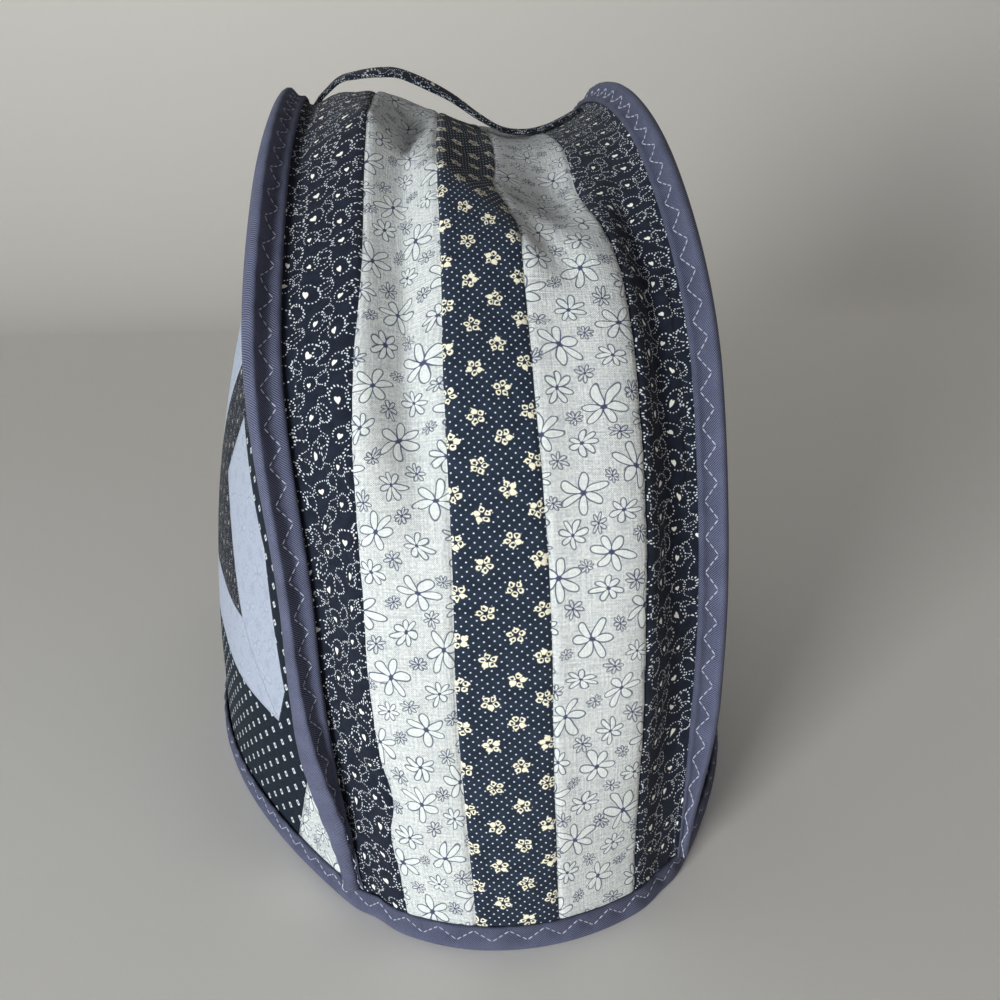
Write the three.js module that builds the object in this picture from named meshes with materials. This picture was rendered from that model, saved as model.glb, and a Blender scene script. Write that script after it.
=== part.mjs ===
import * as THREE from "three";

// A padded cloth cover that stands over a toaster: two arched side panels, one long pieced gusset from
// hem over the top to hem, bindings on the two outward seams, a bound hem and a strap across the top.
// Millimetres, +Z up. +X is the near end, -Y the front panel. The hem stands on Z = 0.

const CLOTH = 1.6; // padded cloth, face to back
const GAP = 0.3; // clear space between neighbouring pieces
const TAPE = 0.9; // one layer of binding tape
const HALF_LENGTH = 139; // middle to end seam, along X
const UPRIGHT = 90; // the end seams rise straight to this height
const CROWN = 136.5; // and round over by this much more
const UPRIGHT_SHARE = 0.3; // the upright's share of the way from hem to crown
const BINDING_DEPTH = 10.3; // a bound seam stands out this far
const BINDING_DEPTH_LOW = 5; // and this far just above the hem
const BINDING_FULL_AT = 64; // height where it reaches its full depth
const BINDING_FOOT = 1.9; // a binding's edges stop this far above the seam
const BINDING_EASE = 0.7; // clear space between the tape and the turned edges inside it
const SEAM_EDGE_SHORT = 3.2; // the turned edges end this far inside the binding's fold
const HEM_TAPE = 8; // height of the hem binding
const HEM_FOOT = TAPE + GAP; // height of the cloth's lower edge inside it
const HEM_EASE = 0.55; // clear space between the cloth and the hem tape
const STRAP_WIDTH = 8;
const STRAP_THICK = 2;

// Side panels: distance of the end seam from the middle plane at each height, and the belly at mid length.
const PANEL_ROWS = [
  { z: 0, frontEdge: 47, frontBelly: 51, backEdge: 48, backBelly: 50 },
  { z: 50, frontEdge: 52, frontBelly: 45, backEdge: 49, backBelly: 42 },
  { z: 100, frontEdge: 53.5, frontBelly: 39, backEdge: 48.5, backBelly: 35 },
  { z: 155, frontEdge: 52.5, frontBelly: 28, backEdge: 42, backBelly: 30 },
  { z: 200, frontEdge: 44, frontBelly: 20.5, backEdge: 34, backBelly: 22 },
  { z: 227, frontEdge: 39, frontBelly: 14, backEdge: 33, backBelly: 14 },
];

// The gusset from the near hem (0) over the crown (1) to the far hem (2). Four piecing seams run along it,
// front to back: their places from -1 at the front bound seam to 1 at the back one.
const PIECING_PLACES = [
  { at: 0.0, place1: -0.7, place2: -0.31, place3: 0.18, place4: 0.68 },
  { at: 0.15, place1: -0.73, place2: -0.32, place3: 0.16, place4: 0.66 },
  { at: 0.3, place1: -0.77, place2: -0.34, place3: 0.15, place4: 0.65 },
  { at: 0.45, place1: -0.73, place2: -0.29, place3: 0.15, place4: 0.67 },
  { at: 0.6, place1: -0.63, place2: -0.24, place3: 0.16, place4: 0.67 },
  { at: 0.75, place1: -0.6, place2: -0.21, place3: 0.15, place4: 0.62 },
  { at: 0.88, place1: -0.57, place2: -0.16, place3: 0.18, place4: 0.63 },
  { at: 1.0, place1: -0.53, place2: -0.11, place3: 0.21, place4: 0.66 },
  { at: 1.2, place1: -0.58, place2: -0.16, place3: 0.22, place4: 0.68 },
  { at: 1.4, place1: -0.62, place2: -0.2, place3: 0.2, place4: 0.64 },
  { at: 1.6, place1: -0.66, place2: -0.23, place3: 0.22, place4: 0.66 },
  { at: 2.0, place1: -0.68, place2: -0.28, place3: 0.2, place4: 0.68 },
];

// How far each piecing seam stands outside the straight line between the bound seams.
const PIECING_RISE = [
  { at: 0.0, out1: 13, out2: 21, out3: 21.5, out4: 13 },
  { at: 0.15, out1: 13, out2: 21, out3: 22, out4: 13 },
  { at: 0.3, out1: 14, out2: 20, out3: 21, out4: 14 },
  { at: 0.45, out1: 14, out2: 18, out3: 19, out4: 12 },
  { at: 0.6, out1: 10, out2: 13, out3: 11, out4: 6 },
  { at: 0.75, out1: 7, out2: 5, out3: -1, out4: -4 },
  { at: 0.88, out1: 7, out2: 1, out3: -5, out4: -7 },
  { at: 1.0, out1: 4, out2: -2, out3: -6, out4: -7 },
  { at: 1.2, out1: 5, out2: 0, out3: -4, out4: -5 },
  { at: 1.4, out1: 9, out2: 10, out3: 8, out4: 6 },
  { at: 1.6, out1: 12, out2: 17, out3: 17, out4: 12 },
  { at: 2.0, out1: 13, out2: 21, out3: 21.5, out4: 13 },
];

// Folds and dents pressed into the gusset: middle, reach along and across, and depth outward.
const FOLDS = [
  { at: 0.62, across: -0.5, along: 0.28, wide: 0.1, out: -3.2 },
  { at: 0.4, across: 0.87, along: 0.35, wide: 0.07, out: -3.5 },
  { at: 0.74, across: 0.46, along: 0.07, wide: 0.16, out: -5 },
  { at: 0.08, across: -0.88, along: 0.14, wide: 0.07, out: -3 },
  { at: 1.0, across: -0.8, along: 0.12, wide: 0.12, out: 2.5 },
  { at: 0.965, across: 0.42, along: 0.07, wide: 0.28, out: -3 },
  { at: 1.4, across: 0.4, along: 0.1, wide: 0.2, out: -3 },
];

// How far each bound seam folds over towards its panel, in degrees.
const SEAM_LEAN = [
  { at: 0.0, front: -25, back: 20 },
  { at: 0.1, front: -12, back: 25 },
  { at: 0.2, front: 8, back: 30 },
  { at: 0.3, front: 22, back: 32 },
  { at: 0.6, front: 24, back: 27 },
  { at: 1.0, front: 20, back: 18 },
  { at: 1.15, front: 18, back: 30 },
  { at: 1.5, front: 15, back: 26 },
  { at: 2.0, front: 5, back: 5 },
];

// The strap from front seam to back seam: place along the gusset, rise of its underside and twist.
const STRAP_ROWS = [
  { across: -0.9, at: 1, lift: 0.9, twist: 10 },
  { across: -0.78, at: 1, lift: 2.8, twist: 12 },
  { across: -0.6, at: 1, lift: 5, twist: 16 },
  { across: -0.4, at: 1, lift: 6.4, twist: 20 },
  { across: -0.2, at: 0.998, lift: 6.2, twist: 20 },
  { across: 0.0, at: 0.994, lift: 4.8, twist: 16 },
  { across: 0.16, at: 0.986, lift: 2.7, twist: 10 },
  { across: 0.3, at: 0.979, lift: 1.4, twist: 4 },
  { across: 0.5, at: 0.976, lift: 1.2, twist: 0 },
  { across: 0.75, at: 0.98, lift: 0.9, twist: 0 },
  { across: 0.9, at: 0.99, lift: 0.9, twist: 0 },
];

const HEM_HEIGHTS = [HEM_FOOT, HEM_TAPE + GAP, HEM_TAPE + 1]; // stations below the bound seams
const UPRIGHT_HEIGHTS = [HEM_TAPE + 1.6, 17, 25, 34, 43, 52, 62, 72, 81];
const CROWN_STEP = 7.5; // degrees
const GUSSET_COLUMNS = [-0.92, -0.8, -0.62, -0.45, -0.24, 0, 0.24, 0.45, 0.62, 0.8, 0.92];
const PANEL_COLUMNS = 12;
const PANEL_INSET = 8; // first row of a panel inside its seam

const v3 = (x, y, z) => new THREE.Vector3(x, y, z);

// Smooth curve through one column of a table.
function smooth(rows, key, column, place) {
  const last = rows.length - 1;
  let k = 0;
  while (k < last - 1 && place > rows[k + 1][key]) k += 1;
  const span = rows[k + 1][key] - rows[k][key];
  const f = Math.min(Math.max((place - rows[k][key]) / span, 0), 1);
  const slope = (j) => {
    const a = rows[Math.max(j - 1, 0)];
    const b = rows[Math.min(j + 1, last)];
    return (span * (b[column] - a[column])) / (b[key] - a[key]);
  };
  const rest = 1 - f;
  const ends = rows[k][column] * (1 + 2 * f) * rest * rest + rows[k + 1][column] * f * f * (3 - 2 * f);
  return ends + slope(k) * f * rest * rest - slope(k + 1) * f * f * rest;
}

// The arched outline of a side panel in the XZ plane, with its outward direction.
function outline(at) {
  const near = at > 1 ? 2 - at : at;
  const flip = at > 1 ? -1 : 1;
  if (near < UPRIGHT_SHARE) {
    return { x: flip * HALF_LENGTH, z: (UPRIGHT * near) / UPRIGHT_SHARE, nx: flip, nz: 0 };
  }
  const angle = ((near - UPRIGHT_SHARE) / (1 - UPRIGHT_SHARE)) * (Math.PI / 2);
  const out = new THREE.Vector2(Math.cos(angle) / HALF_LENGTH, Math.sin(angle) / CROWN).normalize();
  const x = flip * HALF_LENGTH * Math.cos(angle);
  return { x, z: UPRIGHT + CROWN * Math.sin(angle), nx: flip * out.x, nz: out.y };
}

function panelPoint(side, x, z) {
  const belly = smooth(PANEL_ROWS, "z", side + "Belly", z) * (1 - (x / HALF_LENGTH) ** 2);
  const depth = smooth(PANEL_ROWS, "z", side + "Edge", z) + belly;
  return v3(x, side === "front" ? -depth : depth, z);
}

function seamPoint(side, at) {
  const o = outline(at);
  return panelPoint(side, o.x, o.z);
}

// A point of the gusset's middle surface; across runs from -1 at the front seam to 1 at the back seam.
function gussetPoint(at, across) {
  const o = outline(at);
  const knots = [{ t: -1, out: 0 }];
  for (const k of [1, 2, 3, 4]) {
    const t = smooth(PIECING_PLACES, "at", "place" + k, at);
    knots.push({ t, out: smooth(PIECING_RISE, "at", "out" + k, at) });
  }
  knots.push({ t: 1, out: 0 });
  let out = smooth(knots, "t", "out", across);
  for (const fold of FOLDS) {
    const far = ((at - fold.at) / fold.along) ** 2 + ((across - fold.across) / fold.wide) ** 2;
    out += fold.out * Math.exp(-far) * (1 - across ** 8);
  }
  const chord = seamPoint("front", at).lerp(seamPoint("back", at), (across + 1) / 2);
  return chord.add(v3(o.nx * out, 0, o.nz * out));
}

// Directions at a bound seam: along the gusset, along the panel, up the fin, and across it to the gusset.
function seamFrame(side, at) {
  const step = 0.004;
  const before = seamPoint(side, Math.max(at - step, 0));
  const tangent = seamPoint(side, Math.min(at + step, 2)).sub(before).normalize();
  const here = seamPoint(side, at);
  const o = outline(at);
  const sign = side === "front" ? -1 : 1;
  const square = (v) => v.addScaledVector(tangent, -v.dot(tangent)).normalize();
  const toGusset = square(gussetPoint(at, 0.9 * sign).sub(here));
  const toPanel = square(panelPoint(side, o.x - 5 * o.nx, o.z - 5 * o.nz).sub(here));
  const gussetOut = tangent.clone().cross(toGusset);
  gussetOut.multiplyScalar(Math.sign(gussetOut.dot(v3(o.nx, 0, o.nz))));
  const panelOut = tangent.clone().cross(toPanel);
  panelOut.multiplyScalar(Math.sign(panelOut.y * sign));
  const fin = gussetOut.add(panelOut).normalize();
  const over = tangent.clone().cross(fin);
  over.multiplyScalar(Math.sign(over.dot(toGusset)));
  const lean = THREE.MathUtils.degToRad(smooth(SEAM_LEAN, "at", side, at));
  const up = fin.clone().multiplyScalar(Math.cos(lean)).addScaledVector(over, -Math.sin(lean));
  const to = over.clone().multiplyScalar(Math.cos(lean)).addScaledVector(fin, Math.sin(lean));
  const grown = THREE.MathUtils.smoothstep(o.z, HEM_TAPE, BINDING_FULL_AT);
  const depth = BINDING_DEPTH_LOW + (BINDING_DEPTH - BINDING_DEPTH_LOW) * grown;
  return { here, toGusset, toPanel, up, to, depth };
}

// Stations along the gusset, near hem to far hem.
const nearHalf = [...HEM_HEIGHTS, ...UPRIGHT_HEIGHTS].map((z) => (z / UPRIGHT) * UPRIGHT_SHARE);
for (let angle = 0; angle < 90; angle += CROWN_STEP) {
  nearHalf.push(UPRIGHT_SHARE + (1 - UPRIGHT_SHARE) * (angle / 90));
}
const stations = [...nearHalf, 1, ...nearHalf.map((at) => 2 - at).reverse()];
const LAST = stations.length - 1;
const CREST = LAST / 2;
const HEM_STATIONS = HEM_HEIGHTS.length;
const inHem = (i) => i < HEM_STATIONS || i > LAST - HEM_STATIONS;
const frames = {
  front: stations.map((at) => seamFrame("front", at)),
  back: stations.map((at) => seamFrame("back", at)),
};

// Turned edge of a cloth at a bound seam: the fold, and the raw edge inside the binding.
function turnedEdge(side, i, cloth) {
  const f = frames[side][i];
  const along = cloth === "gusset" ? f.toGusset : f.toPanel;
  if (inHem(i)) {
    const edge = f.here.clone().addScaledVector(along, CLOTH / 2 + 2 * GAP);
    return { fold: edge.clone().addScaledVector(along, CLOTH), edge };
  }
  const away = ((CLOTH + GAP) / 2) * (cloth === "gusset" ? 1 : -1);
  const fold = f.here.clone().addScaledVector(f.to, away);
  return { fold, edge: fold.clone().addScaledVector(f.up, f.depth - SEAM_EDGE_SHORT) };
}

// A mesh from points and triangles, faces turned outward.
function body(name, points, triangles, colour) {
  let volume = 0;
  for (const [a, b, c] of triangles) {
    volume += points[a].dot(points[b].clone().cross(points[c]));
  }
  const order = volume < 0 ? triangles.map(([a, b, c]) => [a, c, b]) : triangles;
  const geometry = new THREE.BufferGeometry().setFromPoints(points);
  geometry.setIndex(order.flat());
  geometry.computeVertexNormals();
  const mesh = new THREE.Mesh(geometry, new THREE.MeshStandardMaterial({ color: colour, roughness: 0.9 }));
  mesh.name = name;
  return mesh;
}

// A cloth of even thickness on both sides of a middle surface, closed along its free edges.
function cloth(name, middle, faces, colour) {
  const normals = middle.map(() => []);
  const used = new Set();
  for (const [a, b, c] of faces) {
    const ab = middle[b].clone().sub(middle[a]);
    const n = ab.cross(middle[c].clone().sub(middle[a])).normalize();
    for (const p of [a, b, c]) normals[p].push(n);
    for (const [p, q] of [[a, b], [b, c], [c, a]]) used.add(p + ">" + q);
  }
  const half = middle.map((_, p) => {
    const mean = v3(0, 0, 0);
    const sum = new Float64Array(9);
    for (const n of normals[p]) {
      mean.add(n);
      const e = n.toArray();
      for (let k = 0; k < 9; k += 1) sum[k] += e[Math.floor(k / 3)] * e[k % 3];
    }
    const ease = 0.05 * normals[p].length;
    const right = mean.clone().addScaledVector(mean.clone().normalize(), ease).multiplyScalar(CLOTH / 2);
    for (let k = 0; k < 9; k += 4) sum[k] += ease;
    return right.applyMatrix3(new THREE.Matrix3().set(...sum).invert());
  });
  const count = middle.length;
  const points = middle.map((m, p) => m.clone().add(half[p]));
  points.push(...middle.map((m, p) => m.clone().sub(half[p])));
  const triangles = [];
  for (const [a, b, c] of faces) {
    triangles.push([a, b, c], [a + count, c + count, b + count]);
    for (const [p, q] of [[a, b], [b, c], [c, a]]) {
      if (!used.has(q + ">" + p)) {
        triangles.push([q, p, p + count], [q, p + count, q + count]);
      }
    }
  }
  return body(name, points, triangles, colour);
}

// A solid swept through matching section polygons, as a ring or with closed ends.
function swept(name, sections, profile, ring, colour) {
  const size = sections[0].length;
  const points = sections.flat();
  const triangles = [];
  const spans = ring ? sections.length : sections.length - 1;
  for (let i = 0; i < spans; i += 1) {
    const here = i * size;
    const next = ((i + 1) % sections.length) * size;
    for (let k = 0; k < size; k += 1) {
      const k2 = (k + 1) % size;
      triangles.push([here + k, here + k2, next + k2], [here + k, next + k2, next + k]);
    }
  }
  if (!ring) {
    const end = (sections.length - 1) * size;
    const turn = THREE.ShapeUtils.area(profile) > 0;
    for (const [a, b, c] of THREE.ShapeUtils.triangulateShape(profile, [])) {
      const [p, q] = turn ? [b, c] : [c, b];
      triangles.push([a, q, p], [end + a, end + p, end + q]);
    }
  }
  return body(name, points, triangles, colour);
}

const DARK = 0x1c2233;
const SLATE = 0x5c5f80;
const group = new THREE.Group();

// Gusset: a grid from hem to hem with both edges turned outward into the bindings.
const gussetGrid = stations.map((at, i) => {
  const front = turnedEdge("front", i, "gusset");
  const back = turnedEdge("back", i, "gusset");
  const inner = GUSSET_COLUMNS.map((t) => gussetPoint(at, t));
  return [front.edge, front.fold, ...inner, back.fold, back.edge];
});
const gussetWide = gussetGrid[0].length;
const gussetFaces = [];
for (let i = 0; i < LAST; i += 1) {
  for (let j = 0; j < gussetWide - 1; j += 1) {
    const p = i * gussetWide + j;
    gussetFaces.push([p, p + 1, p + gussetWide + 1], [p, p + gussetWide + 1, p + gussetWide]);
  }
}
group.add(cloth("gusset", gussetGrid.flat(), gussetFaces, 0xc9cbd2));

// Side panels: a turned edge, a row just inside the seam, and level rows between its two ends.
const hemRows = {};
for (const side of ["front", "back"]) {
  const points = [];
  const put = (p) => points.push(p) - 1;
  const edges = stations.map((_, i) => turnedEdge(side, i, "panel"));
  const rim = edges.map((e) => put(e.edge));
  const folds = edges.map((e) => put(e.fold));
  const inset = stations.map((at) => {
    const o = outline(at);
    return put(panelPoint(side, o.x - PANEL_INSET * o.nx, o.z - PANEL_INSET * o.nz));
  });
  const rows = [];
  for (let k = 0; k < CREST; k += 1) {
    const { x, z } = points[inset[k]];
    const row = [inset[k]];
    for (let m = 1; m < PANEL_COLUMNS; m += 1) {
      row.push(put(panelPoint(side, x * (1 - (2 * m) / PANEL_COLUMNS), z)));
    }
    row.push(inset[LAST - k]);
    rows.push(row);
  }
  hemRows[side] = [0, 1].map((k) => [folds[k], ...rows[k], folds[LAST - k]].map((p) => points[p]));
  const faces = [];
  for (let k = 0; k < CREST; k += 1) {
    for (let m = 0; m < PANEL_COLUMNS; m += 1) {
      const [a, b] = [rows[k][m], rows[k][m + 1]];
      if (k === CREST - 1) {
        faces.push([a, b, inset[CREST]]);
      } else {
        faces.push([a, b, rows[k + 1][m + 1]], [a, rows[k + 1][m + 1], rows[k + 1][m]]);
      }
    }
  }
  for (let i = 0; i < LAST; i += 1) {
    for (const [inner, outer] of [[inset, folds], [folds, rim]]) {
      faces.push([inner[i], inner[i + 1], outer[i + 1]], [inner[i], outer[i + 1], outer[i]]);
    }
  }
  const turned = side === "front" ? faces.map(([a, b, c]) => [a, c, b]) : faces;
  group.add(cloth(side + "_panel", points, turned, 0x2c3d4c));
}

// Seam bindings: tape folded over both turned edges.
for (const side of ["front", "back"]) {
  const inside = CLOTH + GAP / 2 + BINDING_EASE;
  const outside = inside + TAPE;
  const profile = (depth) => [
    new THREE.Vector2(BINDING_FOOT, -outside),
    new THREE.Vector2(depth - TAPE, -outside),
    new THREE.Vector2(depth, 0.8 - outside),
    new THREE.Vector2(depth, outside - 0.8),
    new THREE.Vector2(depth - TAPE, outside),
    new THREE.Vector2(BINDING_FOOT, outside),
    new THREE.Vector2(BINDING_FOOT, inside),
    new THREE.Vector2(depth - TAPE, inside),
    new THREE.Vector2(depth - TAPE, -inside),
    new THREE.Vector2(BINDING_FOOT, -inside),
  ];
  const sections = frames[side].slice(HEM_STATIONS, LAST + 1 - HEM_STATIONS).map((f) =>
    profile(f.depth).map((p) => f.here.clone().addScaledVector(f.up, p.x).addScaledVector(f.to, p.y)),
  );
  group.add(swept(side + "_binding", sections, profile(BINDING_DEPTH), false, SLATE));
}

// Hem binding: tape folded round the lower edges of gusset and panels, flat on the table.
const hemLoop = (level) => {
  const near = gussetGrid[level].slice(1, -1);
  const far = gussetGrid[LAST - level].slice(1, -1).reverse();
  const back = hemRows.back[level];
  const front = [...hemRows.front[level]].reverse();
  const corner = (side, i) => frames[side][i].here;
  return [
    ...near, corner("back", level), ...back, corner("back", LAST - level),
    ...far, corner("front", LAST - level), ...front, corner("front", level),
  ];
};
const loops = [hemLoop(0), hemLoop(1)];
const loopOut = loops.map((loop) =>
  loop.map((p, k) => {
    const [a, b] = [loop.at(k - 1), loop[(k + 1) % loop.length]];
    const before = v3(p.y - a.y, a.x - p.x, 0).normalize();
    const after = v3(b.y - p.y, p.x - b.x, 0).normalize();
    return before.clone().add(after).divideScalar(1 + before.dot(after));
  }),
);
const hemInside = CLOTH / 2 + HEM_EASE;
const HEM_PROFILE = [
  { level: 0, out: hemInside + TAPE, z: 0 },
  { level: 1, out: hemInside + TAPE, z: HEM_TAPE },
  { level: 1, out: hemInside, z: HEM_TAPE },
  { level: 0, out: hemInside, z: TAPE },
  { level: 0, out: -hemInside, z: TAPE },
  { level: 1, out: -hemInside, z: HEM_TAPE },
  { level: 1, out: -hemInside - TAPE, z: HEM_TAPE },
  { level: 0, out: -hemInside - TAPE, z: 0 },
];
const hemPoint = (k, { level, out, z }) =>
  loops[level][k].clone().addScaledVector(loopOut[level][k], out).setZ(z);
const hemSections = loops[0].map((_, k) => HEM_PROFILE.map((row) => hemPoint(k, row)));
group.add(swept("hem_binding", hemSections, [], true, SLATE));

// Strap: a flat folded strip from seam to seam across the crown.
const STRAP_STEPS = 24;
const strapLine = [];
for (let k = 0; k <= STRAP_STEPS; k += 1) {
  const across = -0.9 + (1.8 * k) / STRAP_STEPS;
  const lift = smooth(STRAP_ROWS, "across", "lift", across);
  const twist = THREE.MathUtils.degToRad(smooth(STRAP_ROWS, "across", "twist", across));
  const at = smooth(STRAP_ROWS, "across", "at", across);
  const middle = gussetPoint(at, across).add(v3(0, 0, CLOTH / 2 + lift + STRAP_THICK / 2));
  middle.z += (Math.abs(Math.sin(twist)) * STRAP_WIDTH) / 2;
  strapLine.push({ middle, twist });
}
const STRAP_CORNERS = [
  [-1, -0.5], [-0.85, -1], [0.85, -1], [1, -0.5], [1, 0.5], [0.85, 1], [-0.85, 1], [-1, 0.5],
];
const strapProfile = STRAP_CORNERS.map(
  ([wide, thick]) => new THREE.Vector2((wide * STRAP_WIDTH) / 2, (thick * STRAP_THICK) / 2),
);
const strapSections = strapLine.map(({ middle, twist }, k) => {
  const before = strapLine[Math.max(k - 1, 0)].middle;
  const after = strapLine[Math.min(k + 1, STRAP_STEPS)].middle;
  const along = after.clone().sub(before).normalize();
  const wide = v3(1, 0, 0).applyAxisAngle(along, twist);
  const thick = wide.clone().cross(along);
  return strapProfile.map((p) => middle.clone().addScaledVector(wide, p.x).addScaledVector(thick, p.y));
});
group.add(swept("handle_strap", strapSections, strapProfile, false, DARK));

export default group;
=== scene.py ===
# %% [markdown]
# # A padded patchwork cover that stands over a toaster
# The real cover is sewn from printed cotton over thin wadding: two arched side panels, one long
# gusset of five strips, tape folded over the two outward seams and round the hem, and a strap
# across the top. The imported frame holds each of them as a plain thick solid. This lesson rebuilds
# each one as finer cloth in the same place, adds the sewing, and gives every cloth its print and
# weave.

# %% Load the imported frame
import math
from functools import partialmethod

import bpy
import numpy as np
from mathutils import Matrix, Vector


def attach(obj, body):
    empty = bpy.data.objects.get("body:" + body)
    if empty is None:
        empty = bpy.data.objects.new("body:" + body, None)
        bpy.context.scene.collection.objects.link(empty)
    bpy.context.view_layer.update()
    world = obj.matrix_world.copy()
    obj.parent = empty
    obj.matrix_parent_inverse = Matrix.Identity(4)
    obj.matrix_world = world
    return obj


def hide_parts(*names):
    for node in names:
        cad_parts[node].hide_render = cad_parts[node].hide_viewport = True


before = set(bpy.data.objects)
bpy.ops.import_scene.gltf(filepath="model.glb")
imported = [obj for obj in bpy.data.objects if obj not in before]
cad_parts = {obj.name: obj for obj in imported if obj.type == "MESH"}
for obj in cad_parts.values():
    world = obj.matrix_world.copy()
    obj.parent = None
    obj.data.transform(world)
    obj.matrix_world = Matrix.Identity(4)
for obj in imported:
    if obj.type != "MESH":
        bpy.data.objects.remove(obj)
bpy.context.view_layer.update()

# %% [markdown]
# ## The cover's measurements
# Cloth that stands by itself has no simple shape, so its form is kept as small tables, a row for
# each height or each place along the gusset, and smooth curves run through them. The numbers are
# the solids' own, in millimetres. A cloth simulation could drape it, but the slump in the
# photograph is known, so curves that follow it are surer.

# %% Sizes and tables
CLOTH = 1.6
HALF_LENGTH, UPRIGHT, CROWN, UPRIGHT_SHARE = 139.0, 90.0, 136.5, 0.3
BINDING_DEPTH, BINDING_DEPTH_LOW, BINDING_FULL_AT, BINDING_FOOT = 10.3, 5.0, 64.0, 1.9
SEAM_EDGE_SHORT, HEM_TAPE, HEM_FOOT = 3.2, 8.0, 1.2
JOINS = (1, 2, 3, 4)

# z, front edge, front belly, back edge, back belly
PANEL_ROWS = np.array([
    (0, 47, 51, 48, 50),
    (50, 52, 45, 49, 42),
    (100, 53.5, 39, 48.5, 35),
    (155, 52.5, 28, 42, 30),
    (200, 44, 20.5, 34, 22),
    (227, 39, 14, 33, 14),
])
# place along the gusset, then the four piecing seams' places across it
PIECING_PLACES = np.array([
    (0.0, -0.7, -0.31, 0.18, 0.68),
    (0.15, -0.73, -0.32, 0.16, 0.66),
    (0.3, -0.77, -0.34, 0.15, 0.65),
    (0.45, -0.73, -0.29, 0.15, 0.67),
    (0.6, -0.63, -0.24, 0.16, 0.67),
    (0.75, -0.6, -0.21, 0.15, 0.62),
    (0.88, -0.57, -0.16, 0.18, 0.63),
    (1.0, -0.53, -0.11, 0.21, 0.66),
    (1.2, -0.58, -0.16, 0.22, 0.68),
    (1.4, -0.62, -0.2, 0.2, 0.64),
    (1.6, -0.66, -0.23, 0.22, 0.66),
    (2.0, -0.68, -0.28, 0.2, 0.68),
])
# place along the gusset, then how far each piecing seam stands out
PIECING_RISE = np.array([
    (0.0, 13, 21, 21.5, 13),
    (0.15, 13, 21, 22, 13),
    (0.3, 14, 20, 21, 14),
    (0.45, 14, 18, 19, 12),
    (0.6, 10, 13, 11, 6),
    (0.75, 7, 5, -1, -4),
    (0.88, 7, 1, -5, -7),
    (1.0, 4, -2, -6, -7),
    (1.2, 5, 0, -4, -5),
    (1.4, 9, 10, 8, 6),
    (1.6, 12, 17, 17, 12),
    (2.0, 13, 21, 21.5, 13),
])
# main folds: along, across, reach along, reach across, depth
FOLDS = [
    (0.62, -0.5, 0.28, 0.1, -3.2),
    (0.4, 0.87, 0.35, 0.07, -3.5),
    (0.74, 0.46, 0.07, 0.16, -5),
    (0.08, -0.88, 0.14, 0.07, -3),
    (1.0, -0.8, 0.12, 0.12, 2.5),
    (0.965, 0.42, 0.07, 0.28, -3),
    (1.4, 0.4, 0.1, 0.2, -3),
]
# place along, front lean, back lean of the bound seams in degrees
SEAM_LEAN = np.array([
    (0.0, -25, 20), (0.1, -12, 25), (0.2, 8, 30), (0.3, 22, 32),
    (0.6, 24, 27), (1.0, 20, 18), (1.15, 18, 30), (1.5, 15, 26), (2.0, 5, 5),
])


# %% Curves through a table
def curve(rows, column, place):
    """Smooth curve through one column of a table whose first column is the place."""
    key, value = rows[:, 0], rows[:, column]
    last = len(key) - 1
    k = np.clip(np.searchsorted(key, place) - 1, 0, last - 1)
    number = np.arange(last + 1)
    before, after = np.maximum(number - 1, 0), np.minimum(number + 1, last)
    slope = (value[after] - value[before]) / (key[after] - key[before])
    span = key[k + 1] - key[k]
    f = np.clip((place - key[k]) / span, 0, 1)
    g = 1 - f
    ends = value[k] * (1 + 2 * f) * g * g + value[k + 1] * f * f * (3 - 2 * f)
    return ends + span * (slope[k] * f * g * g - slope[k + 1] * f * f * g)


def step_between(low, high, place):
    f = np.clip((place - low) / (high - low), 0, 1)
    return f * f * (3 - 2 * f)


# %% Draped surfaces
def outline(at):
    """Arched edge of a side panel at a place along it: x, z and the outward direction."""
    near, flip = np.where(at > 1, 2 - at, at), np.where(at > 1, -1.0, 1.0)
    angle = np.clip((near - UPRIGHT_SHARE) / (1 - UPRIGHT_SHARE), 0, 1) * math.pi / 2
    low = near < UPRIGHT_SHARE
    nx, nz = np.cos(angle) / HALF_LENGTH, np.where(low, 0, np.sin(angle) / CROWN)
    size = np.hypot(nx, nz)
    z = np.where(low, UPRIGHT * near / UPRIGHT_SHARE, UPRIGHT + CROWN * np.sin(angle))
    return flip * HALF_LENGTH * np.cos(angle), z, flip * nx / size, nz / size


def panel_point(side, x, z):
    first = 1 if side == "front" else 3
    depth = curve(PANEL_ROWS, first, z) + curve(PANEL_ROWS, first + 1, z) * (1 - (x / HALF_LENGTH) ** 2)
    return np.stack(np.broadcast_arrays(x, -depth if side == "front" else depth, z), -1)


def seam_point(side, at):
    x, z, _, _ = outline(at)
    return panel_point(side, x, z)


def dimple(at, across, fold):
    """Depth of one round fold at a place on the gusset."""
    fold_at, fold_across, along, wide, depth = fold
    return depth * np.exp(-((at - fold_at) / along) ** 2 - ((across - fold_across) / wide) ** 2)


def out_at(at):
    """Direction out of the arched edge at a place along it."""
    _, _, nx, nz = outline(at)
    return np.array([float(nx), 0.0, float(nz)])


def gusset_row(at, across):
    """Middle surface of the gusset at one place along it, for several places across."""
    knots = np.array([(-1.0, 0.0)] + [
        (float(curve(PIECING_PLACES, k, at)), float(curve(PIECING_RISE, k, at))) for k in JOINS
    ] + [(1.0, 0.0)])
    out = curve(knots, 1, across)
    for fold in FOLDS:
        out = out + dimple(at, across, fold) * (1 - across ** 8)
    front, back = seam_point("front", at), seam_point("back", at)
    chord = front + (back - front) * ((across + 1) / 2)[:, None]
    return chord + out[:, None] * out_at(at)


print("middle of the top, mm:", gusset_row(1.0, np.zeros(1))[0].round(1))


# %% Bound seams
def unit(v):
    return v / np.linalg.norm(v)


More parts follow.
